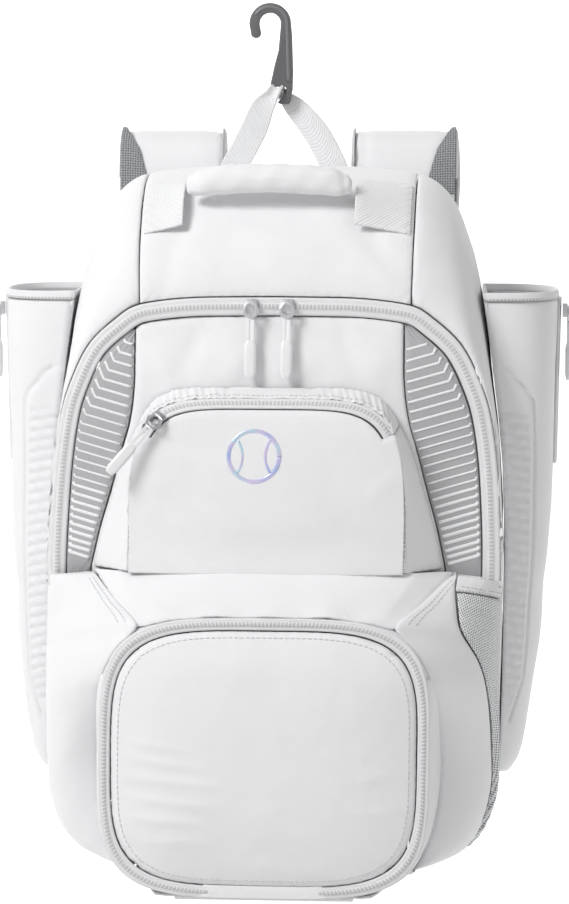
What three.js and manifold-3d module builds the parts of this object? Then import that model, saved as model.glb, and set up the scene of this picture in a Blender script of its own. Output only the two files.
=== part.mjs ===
import * as THREE from 'three';
import { mergeVertices } from 'three/addons/utils/BufferGeometryUtils.js';
import Module from 'manifold-3d';

// Baseball bat backpack, hanging by its fence hook.
// Lengths are millimetres. While it is built, x is to the right as seen from the front,
// the front faces -y, z is up, the back panel lies at y = 0 and the base plate stands on z = 0.
// At the end the whole bag moves so that the point it hangs from is the origin.

const wasm = await Module();
wasm.setup();

// Driving dimensions of the main compartment
const bodyHeight = 515;
const bodyHalfWidth = 167;
const mainDepth = 148;
const clothWall = 2;
const padWall = 3;
const backPadWall = 8;
const seamGap = 0.3;
const looseSeam = 0.8;
const doorCrown = 9;
const doorFade = 45;
const footSway = 4;

// Base plate under the bag
const plateThickness = 3;
const plateHalfWidth = 64;
const plateBackMargin = 25;
const plateFrontMargin = 10;

// Zip tape, as wide as tape and coil together
const mainZipWidth = 13;
const upperZipWidth = 7.5;
const lowerZipWidth = 9;
const lowerZipOutside = 3;
const zipThickness = 3;

// Upper front pocket
const upperPocketHalfWidth = 99;
const upperPocketHeight = 126;
const upperPocketDepth = 34;
const upperPocketCrown = 6;
const upperPocketOffCentre = -4;
const gatherDepth = 1.6;
const gatherPitch = 15;
const gatherRise = 6;

// Lower front pocket
const lowerPocketHalfWidth = 115;
const lowerPocketHeight = 197;
const lowerPocketDepth = 78;
const lowerPocketCrown = 12;

// Mesh bottle pocket on the right side
const bottlePocketDepth = 9;
const meshWall = 1.5;
const meshHemWidth = 9;

// Bat sleeves
const sleeveReach = 38;
const sleeveDepth = 102;
const sleeveRimHeight = 428;
const sleeveLength = 360;
const sleeveRimBand = 6;
const sleeveWall = 2.5;
const sleeveZipLength = 130;

// Grab handle
const handleLength = 122;
const handleHeight = 24;
const handleOffCentre = -6;
const handleThickness = 19;
const handleStandOff = 14;
const tabLength = 38;

// Hang loop of webbing and the fence hook
const webbingWidth = 20;
const webbingThickness = 1.8;
const hookHeight = 76;
const hookThickness = 8;
const hookRodWidth = 7.5;
const hookCrookRadius = 8.2;
const hookRise = 105;
const hookOffCentre = -12.6;
const hookSetBack = 5;

// Shoulder straps
const strapWidth = 80;
const strapThickness = 11;
const strapLining = 2;
const strapRise = 27;
const strapStandOff = 58;
const tailWebbingWidth = 25;

// Zip pulls
const sliderLength = 10;
const tabRingWidth = 12;
const gripLength = 27;
const gripWidth = 9;
const gripThickness = 4.5;
const pullCordWidth = 2.2;
const pullCordLength = 15;
const mainPullLeft = -17;
const mainPullRight = 9;
const upperPullTurn = 0.92;
const upperPullLean = 0.72;

const strapSpacing = bodyHalfWidth * 0.533;
const baseLift = plateThickness + seamGap;
const yokeRise = 25;
const upperPocketFloor = baseLift + lowerPocketHeight + lowerZipOutside * 2 + yokeRise;

// Values between the rows of a table, without overshoot
function rowValue(rows, key, column, at) {
  const last = rows.length - 1;
  if (at <= rows[0][key]) return rows[0][column];
  if (at >= rows[last][key]) return rows[last][column];
  const slope = (i) => (rows[i + 1][column] - rows[i][column]) / (rows[i + 1][key] - rows[i][key]);
  const tangent = (i) => {
    if (i === 0) return slope(0);
    if (i === last) return slope(last - 1);
    const before = slope(i - 1);
    const after = slope(i);
    if (before * after <= 0) return 0;
    return (2 * before * after) / (before + after);
  };
  let i = 0;
  while (at > rows[i + 1][key]) i += 1;
  const span = rows[i + 1][key] - rows[i][key];
  const s = (at - rows[i][key]) / span;
  const low = rows[i][column] * (1 + 2 * s) * (1 - s) ** 2 + tangent(i) * span * s * (1 - s) ** 2;
  const high = rows[i + 1][column] * s * s * (3 - 2 * s) + tangent(i + 1) * span * s * s * (s - 1);
  return low + high;
}

const mix = (a, b, s) => a + (b - a) * s;
const mixPoints = (a, b, s) => a.clone().lerp(b, s);
const point = (x, y, z) => new THREE.Vector3(x, y, z);
const power = (value, exponent) => Math.sign(value) * Math.abs(value) ** exponent;
const middle = point(0, -mainDepth / 2, bodyHeight / 2);

// A closed mesh from corners and faces, turned to face outwards
function closedMesh(corners, faces) {
  let volume = 0;
  for (const [a, b, c] of faces) {
    volume += corners[a].dot(corners[b].clone().cross(corners[c]));
  }
  const turned = volume < 0 ? faces.map(([a, b, c]) => [a, c, b]) : faces;
  const geometry = new THREE.BufferGeometry();
  const positions = corners.flatMap((corner) => [corner.x, corner.y, corner.z]);
  geometry.setAttribute('position', new THREE.Float32BufferAttribute(positions, 3));
  geometry.setIndex(turned.flat());
  return geometry;
}

// A cloth wall: an outer skin given by surface(u, v) and an inner skin one wall behind it
function clothWallOf(surface, columns, rows, wall, inside = middle) {
  const step = 1e-3;
  const crossAt = (u, v) => {
    const alongU = surface(Math.min(1, u + step), v).sub(surface(Math.max(0, u - step), v));
    const alongV = surface(u, Math.min(1, v + step)).sub(surface(u, Math.max(0, v - step)));
    return alongU.cross(alongV).normalize();
  };
  const outward = Math.sign(crossAt(0.5, 0.5).dot(surface(0.5, 0.5).sub(inside)));
  const corners = [];
  for (const depth of [0, wall]) {
    for (let j = 0; j <= rows; j += 1) {
      for (let i = 0; i <= columns; i += 1) {
        const u = i / columns;
        const v = j / rows;
        corners.push(surface(u, v).addScaledVector(crossAt(u, v), -outward * depth));
      }
    }
  }
  const inner = (columns + 1) * (rows + 1);
  const at = (i, j) => j * (columns + 1) + i;
  const faces = [];
  const quad = (a, b, c, d) => faces.push([a, b, c], [a, c, d]);
  for (let j = 0; j < rows; j += 1) {
    for (let i = 0; i < columns; i += 1) {
      quad(at(i, j), at(i + 1, j), at(i + 1, j + 1), at(i, j + 1));
      quad(inner + at(i, j), inner + at(i, j + 1), inner + at(i + 1, j + 1), inner + at(i + 1, j));
    }
  }
  for (let i = 0; i < columns; i += 1) {
    quad(at(i + 1, 0), at(i, 0), inner + at(i, 0), inner + at(i + 1, 0));
    quad(at(i, rows), at(i + 1, rows), inner + at(i + 1, rows), inner + at(i, rows));
  }
  for (let j = 0; j < rows; j += 1) {
    quad(at(0, j), at(0, j + 1), inner + at(0, j + 1), inner + at(0, j));
    quad(at(columns, j + 1), at(columns, j), inner + at(columns, j), inner + at(columns, j + 1));
  }
  return closedMesh(corners, faces);
}

// A crowned panel inside an outline; share is 1 at its edge and 0 at its middle
function crownedPanel(surface, segments, rings, wall) {
  const corners = [];
  for (const depth of [0, wall]) {
    corners.push(surface(0, 0).add(point(0, depth, 0)));
    for (let ring = 1; ring <= rings; ring += 1) {
      for (let k = 0; k < segments; k += 1) {
        corners.push(surface(k / segments, ring / rings).add(point(0, depth, 0)));
      }
    }
  }
  const inner = 1 + rings * segments;
  const at = (ring, k) => (ring === 0 ? 0 : 1 + (ring - 1) * segments + (k % segments));
  const faces = [];
  for (let k = 0; k < segments; k += 1) {
    faces.push([0, at(1, k), at(1, k + 1)]);
    faces.push([inner, inner + at(1, k + 1), inner + at(1, k)]);
    for (let ring = 1; ring < rings; ring += 1) {
      faces.push([at(ring, k), at(ring + 1, k), at(ring + 1, k + 1)]);
      faces.push([at(ring, k), at(ring + 1, k + 1), at(ring, k + 1)]);
      faces.push([inner + at(ring, k), inner + at(ring + 1, k + 1), inner + at(ring + 1, k)]);
      faces.push([inner + at(ring, k), inner + at(ring, k + 1), inner + at(ring + 1, k + 1)]);
    }
    faces.push([at(rings, k), inner + at(rings, k), inner + at(rings, k + 1)]);
    faces.push([at(rings, k), inner + at(rings, k + 1), at(rings, k + 1)]);
  }
  return closedMesh(corners, faces);
}

// A solid through closed sections of as many points each
function loftThrough(sections) {
  const count = sections[0].length;
  const corners = sections.flat();
  const faces = [];
  for (let j = 0; j + 1 < sections.length; j += 1) {
    for (let i = 0; i < count; i += 1) {
      const next = (i + 1) % count;
      const low = j * count;
      const high = low + count;
      faces.push([low + i, low + next, high + next], [low + i, high + next, high + i]);
    }
  }
  const centreOf = (ring) => ring.reduce((sum, p) => sum.add(p), point(0, 0, 0)).divideScalar(count);
  const bottomCentre = corners.push(centreOf(sections[0])) - 1;
  const topCentre = corners.push(centreOf(sections[sections.length - 1])) - 1;
  const top = (sections.length - 1) * count;
  for (let i = 0; i < count; i += 1) {
    const next = (i + 1) % count;
    faces.push([bottomCentre, next, i], [topCentre, top + i, top + next]);
  }
  return closedMesh(corners, faces);
}

// A flat band along a path, width across and thickness through
function bandAlong(places, width, thickness) {
  const sections = places.map(({ at, across, through }) => [
    [-0.5, -0.5], [0.5, -0.5], [0.5, 0.5], [-0.5, 0.5],
  ].map(([a, b]) => at.clone().addScaledVector(across, a * width).addScaledVector(through, b * thickness)));
  return loftThrough(sections);
}

function toSolid(geometry) {
  const bare = geometry.clone();
  bare.deleteAttribute('normal');
  bare.deleteAttribute('uv');
  const merged = mergeVertices(bare, 1e-4);
  const mesh = new wasm.Mesh({
    numProp: 3,
    vertProperties: new Float32Array(merged.attributes.position.array),
    triVerts: new Uint32Array(merged.index.array),
  });
  return new wasm.Manifold(mesh);
}

function fromSolid(solid) {
  const mesh = solid.getMesh();
  const geometry = new THREE.BufferGeometry();
  geometry.setAttribute('position', new THREE.BufferAttribute(mesh.vertProperties, 3));
  geometry.setIndex(new THREE.BufferAttribute(mesh.triVerts, 1));
  return geometry;
}

const cutAway = (from, what) => fromSolid(toSolid(from).subtract(toSolid(what)));
const joined = (...parts) => fromSolid(parts.map(toSolid).reduce((sum, part) => sum.add(part)));

// Materials, with the colours of the cloth, plastic and metal
const fabric = (colour) => new THREE.MeshStandardMaterial({ color: colour, roughness: 0.85, metalness: 0 });
const whiteCloth = fabric(0xf1f1f2);
const whiteMesh = fabric(0xdfe0e2);
const greyMesh = fabric(0x8d8f93);
const whiteTape = fabric(0xe9e9ea);
const greyPanel = fabric(0xb9babd);
const whiteWebbing = fabric(0xebebec);
const greyPlastic = new THREE.MeshStandardMaterial({ color: 0x5f6062, roughness: 0.5, metalness: 0 });
const whitePlastic = new THREE.MeshStandardMaterial({ color: 0xe6e6e8, roughness: 0.45, metalness: 0 });
const steel = new THREE.MeshStandardMaterial({ color: 0xc9cacc, roughness: 0.3, metalness: 1 });

const backpack = new THREE.Group();
const bag = new THREE.Group();
backpack.add(bag);

// The soft bag hangs a little to the left at its foot
function swayed(geometry) {
  const place = geometry.attributes.position;
  for (let i = 0; i < place.count; i += 1) {
    const low = 1 - THREE.MathUtils.smoothstep(place.getZ(i), bodyHeight * 0.1, bodyHeight * 0.65);
    place.setX(i, place.getX(i) - footSway * low);
  }
  return geometry;
}

function addPiece(name, geometry, material) {
  const mesh = new THREE.Mesh(swayed(geometry), material);
  mesh.name = name;
  bag.add(mesh);
}

// Main shell. The gusset runs round the bag from the back seam to the front seam.
// way goes from the middle of the base (0) up the right side to the middle of the top (1),
// and is negative on the left. x, z give the fullest outline, backX, backZ the back seam and
// frontX, frontZ the front seam, as shares of half the width and of the height.
const OUTLINE = [
  { way: 0.0, x: 0.0, z: 0.0, backX: 0.0, backZ: 0.01, frontX: 0.0, frontZ: 0.0 },
  { way: 0.14, x: 0.6, z: 0.0, backX: 0.6, backZ: 0.01, frontX: 0.6, frontZ: 0.008 },
  { way: 0.2, x: 0.84, z: 0.018, backX: 0.81, backZ: 0.028, frontX: 0.81, frontZ: 0.032 },
  { way: 0.25, x: 0.955, z: 0.06, backX: 0.92, backZ: 0.068, frontX: 0.93, frontZ: 0.072 },
  { way: 0.31, x: 1.0, z: 0.13, backX: 0.955, backZ: 0.132, frontX: 0.985, frontZ: 0.122 },
  { way: 0.42, x: 1.005, z: 0.285, backX: 0.96, backZ: 0.285, frontX: 0.99, frontZ: 0.275 },
  { way: 0.53, x: 1.0, z: 0.45, backX: 0.955, backZ: 0.45, frontX: 0.99, frontZ: 0.436 },
  { way: 0.62, x: 0.977, z: 0.596, backX: 0.93, backZ: 0.592, frontX: 0.972, frontZ: 0.566 },
  { way: 0.7, x: 0.935, z: 0.716, backX: 0.893, backZ: 0.708, frontX: 0.932, frontZ: 0.662 },
  { way: 0.77, x: 0.89, z: 0.819, backX: 0.843, backZ: 0.805, frontX: 0.875, frontZ: 0.716 },
  { way: 0.83, x: 0.835, z: 0.895, backX: 0.79, backZ: 0.877, frontX: 0.812, frontZ: 0.755 },
  { way: 0.88, x: 0.747, z: 0.957, backX: 0.71, backZ: 0.934, frontX: 0.702, frontZ: 0.79 },
  { way: 0.92, x: 0.6, z: 0.988, backX: 0.575, backZ: 0.963, frontX: 0.584, frontZ: 0.813 },
  { way: 0.96, x: 0.3, z: 0.998, backX: 0.29, backZ: 0.976, frontX: 0.3, frontZ: 0.823 },
  { way: 1.0, x: 0.0, z: 1.0, backX: 0.0, backZ: 0.98, frontX: 0.0, frontZ: 0.824 },
];
const fullestShare = 0.26;
const backShare = 0.22;
const shoulderFullness = 1.15;
const baseSeamWay = 0.14;
const hipTopWay = 0.522;
const zipEndWay = 0.537;
const topSeamWay = 0.92;
const doorCornerWay = 0.903;
const hipShare = 0.72;

function outlinePoint(way, xColumn, zColumn) {
  const x = Math.sign(way) * rowValue(OUTLINE, 'way', xColumn, Math.abs(way)) * bodyHalfWidth;
  const z = baseLift + rowValue(OUTLINE, 'way', zColumn, Math.abs(way)) * bodyHeight;
  return { x, z };
}

// across is 0 at the back seam and 1 at the front seam
function gusset(way, across) {
  const full = outlinePoint(way, 'x', 'z');
  const fullY = -mainDepth * fullestShare;
  if (across < backShare) {
    const turn = (across / backShare) * (Math.PI / 2);
    const back = outlinePoint(way, 'backX', 'backZ');
    const share = Math.sin(turn);
    return point(mix(back.x, full.x, share), fullY * (1 - Math.cos(turn)), mix(back.z, full.z, share));
  }
  const turn = ((across - backShare) / (1 - backShare)) * (Math.PI / 2);
  const front = outlinePoint(way, 'frontX', 'frontZ');
  const share = Math.cos(turn) ** shoulderFullness;
  const y = mix(fullY, -mainDepth, Math.sin(turn));
  return point(mix(front.x, full.x, share), y, mix(front.z, full.z, share));
}

// A point on a seam, moved in towards the middle of the bag
function seamPoint(way, inset, xColumn, zColumn) {
  const step = 1e-3;
  const size = Math.abs(way);
  const before = outlinePoint(Math.max(0, size - step), xColumn, zColumn);
  const after = outlinePoint(Math.min(1, size + step), xColumn, zColumn);
  const beforeX = Math.abs(before.x);
  const afterX = Math.abs(after.x);
  const length = Math.hypot(afterX - beforeX, after.z - before.z);
  const seam = outlinePoint(size, xColumn, zColumn);
  const x = Math.abs(seam.x) - (inset * (after.z - before.z)) / length;
  const z = seam.z + (inset * (afterX - beforeX)) / length;
  return { x: Math.sign(way) * x, z };
}
const frontSeam = (way, inset) => seamPoint(way, inset, 'frontX', 'frontZ');

// Stations along the outline: those of the table and one between each two
function waysBetween(from, to) {
  const ways = [from];
  for (let i = 1; i < OUTLINE.length; i += 1) {
    const half = (OUTLINE[i - 1].way + OUTLINE[i].way) / 2;
    for (const way of [half, OUTLINE[i].way]) if (way > from + 0.01 && way < to - 0.01) ways.push(way);
  }
  return [...ways, to];
}
function stationAt(stations, share) {
  const place = share * (stations.length - 1);
  const i = Math.min(stations.length - 2, Math.floor(place));
  return mix(stations[i], stations[i + 1], place - i);
}

const mainZipInset = looseSeam + mainZipWidth;

// The front door stands proud in its middle and lies back against the zip at its head
function doorY(x, z) {
  const head = frontSeam(1, mainZipInset).z;
  const fade = THREE.MathUtils.smoothstep(head - z, 0, doorFade);
  return -(mainDepth + doorCrown * fade * (1 - (x / bodyHalfWidth) ** 2));
}

// Top panel, between the two seams that run from back to front
const topSeamMargin = 0.0012;
addPiece('top_panel', clothWallOf(
  (u, v) => gusset((1 - (1 - topSeamWay) * Math.abs(2 * u - 1)) * (u < 0.5 ? -1 : 1), v),
  8, 8, clothWall,
), whiteCloth);

// Side panels, from the base seam up to the top panel; they stop short where the hips begin
function sidePanel(side) {
  const low = waysBetween(baseSeamWay, hipTopWay + 0.002);
  const high = waysBetween(hipTopWay + 0.012, topSeamWay - topSeamMargin);
  const ways = [...low, ...high];
  const ends = ways.map((way, i) => (i < low.length ? hipShare : 1));
  return clothWallOf(
    (u, v) => gusset(side * stationAt(ways, v), u * stationAt(ends, v)),
    6, ways.length - 1, clothWall,
  );
}
addPiece('side_panel_left', sidePanel(-1), whiteCloth);
addPiece('side_panel_right', sidePanel(1), whiteCloth);

// Padded back panel inside the back seam
const backPanelFoot = 0.12;
const backPanelHead = 0.985;
const backPanelWays = waysBetween(backPanelFoot, backPanelHead);
addPiece('back_panel', clothWallOf((u, v) => {
  const seam = seamPoint(stationAt(backPanelWays, v), looseSeam, 'backX', 'backZ');
  return point((2 * u - 1) * seam.x, 0, seam.z);
}, 2, backPanelWays.length - 1, backPadWall), whiteCloth);

// Base panel, from the back seam forward under the lower pocket, with the stiff plate below it
const baseFrontY = -(mainDepth + lowerPocketDepth - zipThickness - looseSeam);
const basePanelBack = looseSeam + backPadWall;
const baseFrontShare = 0.66;
addPiece('base_panel', clothWallOf((u, v) => {
  const y = mix(-basePanelBack, baseFrontY, v);
  const forward = Math.max(0, (-y - mainDepth) / lowerPocketDepth);
  const halfWidth = rowValue(OUTLINE, 'way', 'x', baseSeamWay) * bodyHalfWidth - looseSeam;
  const narrow = mix(halfWidth, lowerPocketHalfWidth * baseFrontShare, forward);
  return point((2 * u - 1) * narrow, y, baseLift);
}, 4, 6, clothWall), whiteCloth);
addPiece('base_plate', (() => {
  const frontY = -(mainDepth + lowerPocketDepth - plateFrontMargin);
  const depth = -frontY - plateBackMargin;
  const plate = new THREE.BoxGeometry(plateHalfWidth * 2, depth, plateThickness);
  return plate.translate(0, frontY + depth / 2, plateThickness / 2);
})(), whitePlastic);

// Zip tapes: a band between an outer and an inner line, u along and v across
function zipBand(line, pieces) {
  return clothWallOf(line, pieces, 1, zipThickness);
}
const zipProud = 1.2;
const archWays = waysBetween(zipEndWay, 1);
const archStations = [...archWays.map((way) => way - 1), ...archWays.slice(0, -1).reverse().map((way) => 1 - way)];
function archWay(u) {
  const off = stationAt(archStations, u);
  return (off < 0 ? -1 : 1) * (1 - Math.abs(off));
}
addPiece('main_zip', zipBand((u, v) => {
  const place = frontSeam(archWay(u), mix(looseSeam, mainZipInset, v));
  return point(place.x, -mainDepth - zipProud, place.z);
}, archStations.length - 1), whiteTape);

// Front door: the white panel in the middle, which runs on behind the upper pocket.
// up goes from the foot of the door to the arch, half its width is a share of half the bag.
const COLUMN = [
  { up: 0.0, half: 0.77 },
  { up: 0.17, half: 0.73 },
  { up: 0.29, half: 0.694 },
  { up: 0.5, half: 0.635 },
  { up: 0.61, half: 0.603 },
  { up: 0.72, half: 0.586 },
  { up: 0.82, half: 0.58 },
  { up: 1.0, half: 0.58 },
];
const doorFoot = upperPocketFloor;
const doorCorner = frontSeam(doorCornerWay, mainZipInset + looseSeam);
const doorOffCentre = upperPocketOffCentre;
function columnHalf(z) {
  const up = (z - doorFoot) / (doorCorner.z - doorFoot);
  return rowValue(COLUMN, 'up', 'half', up) * bodyHalfWidth;
}
function archInnerWay(x) {
  let low = doorCornerWay - 0.05;
  let high = 1;
  for (let i = 0; i < 30; i += 1) {
    const way = (low + high) / 2;
    if (frontSeam(way, mainZipInset + looseSeam).x > Math.abs(x)) low = way;
    else high = way;
  }
  return low;
}
addPiece('door_panel', clothWallOf((u, v) => {
  const side = 2 * u - 1;
  const topX = doorOffCentre + side * columnHalf(doorCorner.z);
  const top = frontSeam(archInnerWay(topX), mainZipInset + looseSeam).z;
  const nominal = mix(doorFoot, doorCorner.z, v);
  const x = doorOffCentre + side * (columnHalf(nominal) - seamGap);
  const z = mix(doorFoot, top, v);
  return point(x, doorY(x, z), z);
}, 8, 9, clothWall), whiteCloth);

// Ribbed side zones of the door, between the white panel and the arch
function chevronZone(side) {
  const topWay = archInnerWay(side * doorOffCentre + columnHalf(doorCorner.z) + looseSeam * 2);
  const top = frontSeam(topWay, mainZipInset + looseSeam).z;
  return clothWallOf((u, v) => {
    const outer = frontSeam(mix(zipEndWay, topWay, v), mainZipInset + looseSeam);
    const z = mix(doorFoot, top, v);
    const innerX = side * doorOffCentre + columnHalf(z) + looseSeam;
    const x = mix(innerX, Math.max(outer.x, innerX + 1), u);
    const high = mix(z, outer.z, u);
    return point(side * x, doorY(x, high), high);
  }, 3, 10, clothWall);
}
addPiece('chevron_panel_left', chevronZone(-1), greyPanel);
addPiece('chevron_panel_right', chevronZone(1), greyPanel);

// Hips: the panels that wrap round the lower front corners to the lower pocket.
// up goes along the hip, half is its inner edge as a share of half the lower pocket,
// out is how far forward as a share of the pocket's depth, high its height as a share of the door's foot.
const HIP = [
  { up: 0.0, half: 0.9, out: 0.03, high: 0.02 },
  { up: 0.145, half: 0.96, out: 0.05, high: 0.068 },
  { up: 0.277, half: 1.02, out: 0.1, high: 0.145 },
  { up: 0.435, half: 1.07, out: 0.16, high: 0.29 },
  { up: 0.5, half: 1.08, out: 0.22, high: 0.385 },
  { up: 0.6, half: 1.07, out: 0.42, high: 0.51 },
  { up: 0.7, half: 1.045, out: 0.72, high: 0.632 },
  { up: 0.77, half: 1.01, out: 0.88, high: 0.71 },
  { up: 0.81, half: 0.93, out: 0.92, high: 0.79 },
  { up: 0.85, half: 0.8, out: 0.93, high: 0.866 },
  { up: 0.925, half: 0.965, out: 0.52, high: 0.93 },
  { up: 1.0, half: 1.135, out: 0.12, high: 1.0 },
];
const hipCornerUp = 0.85;
const hipPocketUp = 0.77;
function hipEdge(up) {
  const x = rowValue(HIP, 'up', 'half', up) * lowerPocketHalfWidth;
  const y = -(mainDepth + rowValue(HIP, 'up', 'out', up) * lowerPocketDepth);
  const z = baseLift + rowValue(HIP, 'up', 'high', up) * (doorFoot - baseLift - clothWall);
  return point(x, y, z);
}
const hipWays = waysBetween(baseSeamWay, hipTopWay - 0.004);
const hipRound = 0.24;
function hipSurface(u, v) {
  const outer = gusset(stationAt(hipWays, v), hipShare + 0.004);
  const inner = hipEdge(v);
  const corner = point(
    outer.x,
    Math.min(outer.y - lowerPocketDepth * hipRound * 2, inner.y * 0.55 + outer.y * 0.45),
    mix(outer.z, inner.z, 0.5),
  );
  const first = mixPoints(outer, corner, u);
  return first.lerp(mixPoints(corner, inner, u), u);
}

// On the right a bottle pocket of mesh is let in; far is where its front edge lies on the hip
const BOTTLE = [
  { up: 0.0, far: 0.04 },
  { up: 0.25, far: 0.2 },
  { up: 0.5, far: 0.27 },
  { up: 0.68, far: 0.36 },
  { up: 0.78, far: 0.47 },
  { up: 0.885, far: 0.7 },
  { up: 1.0, far: 0.97 },
];
const bottleRamp = 0.1;
function bottleRecess(u, v) {
  const far = rowValue(BOTTLE, 'up', 'far', v);
  const inwards = THREE.MathUtils.smoothstep(far - u, 0, bottleRamp);
  const foot = THREE.MathUtils.smoothstep(v, 0.02, 0.16);
  const back = THREE.MathUtils.smoothstep(u, 0, bottleRamp * 0.7);
  return bottlePocketDepth * inwards * foot * back;
}
addPiece('hip_panel_left', clothWallOf((u, v) => {
  const place = hipSurface(u, v);
  return point(-place.x, place.y, place.z);
}, 6, 12, clothWall), whiteCloth);
addPiece('hip_panel_right', clothWallOf((u, v) => {
  const place = hipSurface(u, v);
  const recess = bottleRecess(u, v);
  return point(place.x - recess * (1 - u * 0.5), place.y + recess * u * 0.9, place.z);
}, 10, 12, clothWall), whiteCloth);
const meshFoot = 0.22;
const meshTopFront = 0.998;
const meshTopBack = 0.99;
const meshEdge = 0.045;
const hemEdge = 0.03;
const meshSlack = 1.5;
function meshSurface(u, v, edge) {
  const top = mix(meshTopBack, meshTopFront, u);
  const up = mix(meshFoot, top, v);
  const far = rowValue(BOTTLE, 'up', 'far', up) - edge;
  const place = hipSurface(mix(edge, far, u), Math.min(1, up));
  const swell = meshSlack * Math.sin(Math.PI * v) * Math.sin(Math.PI * u);
  return point(place.x + swell, place.y - swell, place.z);
}
const hemShare = meshHemWidth / (doorFoot * (meshTopFront - meshFoot));
const hemSeam = 0.006;
addPiece('bottle_pocket_mesh', clothWallOf(
  (u, v) => meshSurface(u, v * (1 - hemShare - hemSeam), meshEdge), 6, 8, meshWall,
), whiteMesh);
addPiece('bottle_pocket_hem', clothWallOf(
  (u, v) => meshSurface(u, mix(1 - hemShare, 1, v), hemEdge), 6, 1, meshWall,
), whiteTape);

// Lower pocket. Its front is a rounded square, a superellipse of the fourth power.
const lowerSquareness = 0.5;
const lowerOuterHalf = lowerPocketHeight / 2 + lowerZipOutside;
const lowerMiddle = baseLift + seamGap + lowerOuterHalf;
function lowerOutline(turn, inset) {
  const halfWidth = lowerPocketHalfWidth + lowerZipOutside - inset;
  const halfHeight = lowerOuterHalf - inset;
  return {
    x: halfWidth * power(Math.cos(turn), lowerSquareness),
    z: lowerMiddle + halfHeight * power(Math.sin(turn), lowerSquareness),
  };
}
const lowerFrontY = -(mainDepth + lowerPocketDepth);
const lowerZipEnd = -1.45;
addPiece('lower_zip', zipBand((u, v) => {
  const turn = mix(lowerZipEnd, Math.PI - lowerZipEnd, u);
  const place = lowerOutline(turn, mix(seamGap, lowerZipWidth, v));
  return point(place.x, lowerFrontY, place.z);
}, 40), whiteTape);
addPiece('lower_pocket_front', crownedPanel((around, share) => {
  const edge = lowerOutline(around * 2 * Math.PI, lowerZipWidth + seamGap * 2);
  const crown = lowerPocketCrown * (1 - share ** 3);
  return point(edge.x * share, lowerFrontY - crown, mix(lowerMiddle, edge.z, share));
}, 32, 3, padWall), whiteCloth);
function lowerSide(side) {
  return clothWallOf((u, v) => {
    const rear = hipEdge(mix(0.06, hipPocketUp, v));
    const halfHeight = lowerOuterHalf - seamGap;
    const high = Math.max(-0.96, (rear.z - lowerMiddle) / halfHeight);
    const x = (lowerPocketHalfWidth + lowerZipOutside - seamGap) * (1 - high ** 4) ** 0.25;
    const front = point(x - seamGap, lowerFrontY + zipThickness + looseSeam, lowerMiddle + high * halfHeight);
    const back = point(rear.x - clothWall - looseSeam, rear.y - seamGap, rear.z);
    const place = mixPoints(front, back, u);
    return point(side * place.x, place.y, place.z);
  }, 3, 11, clothWall);
}
addPiece('lower_pocket_side_left', lowerSide(-1), whiteCloth);
addPiece('lower_pocket_side_right', lowerSide(1), whiteCloth);

// Wall between the main compartment and the lower pocket
addPiece('divider_panel', clothWallOf((u, v) => {
  const z = mix(baseLift + clothWall + seamGap, doorFoot - looseSeam, v);
  const narrow = 1 - 0.12 * THREE.MathUtils.smoothstep(0.3 - v, 0, 0.3);
  return point((2 * u - 1) * (lowerPocketHalfWidth - clothWall * 2) * narrow, -mainDepth - seamGap, z);
}, 4, 5, clothWall), whiteCloth);

// Upper pocket. Its front is half a superellipse that stands on the yoke.
const upperSquareness = 0.4;
function upperArch(turn, inset) {
  return {
    x: upperPocketOffCentre + (upperPocketHalfWidth - inset) * power(Math.cos(turn), upperSquareness),
    z: upperPocketFloor + (upperPocketHeight - inset) * power(Math.sin(turn), upperSquareness),
  };
}
const upperFrontY = -(mainDepth + upperPocketDepth);
const upperZipStart = 0.62;
function upperFrontEdge(turn) {
  const start = Math.sin(upperZipStart);
  const opened = THREE.MathUtils.smoothstep(Math.sin(turn), start - 0.26, start - 0.14);
  return upperArch(turn, mix(seamGap, upperZipWidth + looseSeam, opened));
}
addPiece('upper_pocket_front', clothWallOf((u, v) => {
  const turn = Math.PI * (1 - u);
  const edge = upperFrontEdge(Math.max(0.02, Math.min(Math.PI - 0.02, turn)));
  const share = THREE.MathUtils.clamp((edge.x - upperPocketOffCentre) / upperPocketHalfWidth, -1, 1);
  const crown = upperPocketCrown * (1 - share * share) * (1 - (v * Math.sin(turn)) ** 4);
  const z = mix(upperPocketFloor + seamGap, edge.z, v);
  return point(edge.x, upperFrontY - crown, z);
}, 14, 6, clothWall, middle), whiteCloth);
addPiece('upper_zip', zipBand((u, v) => {
  const turn = mix(upperZipStart, Math.PI - upperZipStart, 1 - u);
  const place = upperArch(turn, mix(0, upperZipWidth - seamGap, v));
  return point(place.x, upperFrontY + mix(zipThickness + 1, 0, v), place.z);
}, 26), whiteTape);

// Walls of the upper pocket: plain at the sides, gathered over the top
const wallSquareness = 0.28;
function upperWall(turn, back, ruffled) {
  const front = upperArch(turn, -seamGap * 2);
  const rearHigh = (upperPocketHeight + gatherRise) * power(Math.sin(turn), upperSquareness);
  const rearHalf = columnHalf(upperPocketFloor + rearHigh) - looseSeam;
  const rearX = doorOffCentre + rearHalf * power(Math.cos(turn), wallSquareness);
  const rearZ = upperPocketFloor + rearHigh;
  const rear = point(rearX, doorY(rearX, rearZ) - clothWall - seamGap, rearZ);
  const near = point(front.x, upperFrontY + zipThickness * 2 + 1 + looseSeam, front.z);
  const place = mixPoints(near, rear, back);
  const wave = Math.sin((place.x / gatherPitch) * 2 * Math.PI) * gatherDepth * ruffled * (1 - back * 0.5);
  return point(place.x, place.y, place.z + wave + gatherDepth * ruffled);
}
const wallSplit = 0.6;
const stripEnd = 0.01;
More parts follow.
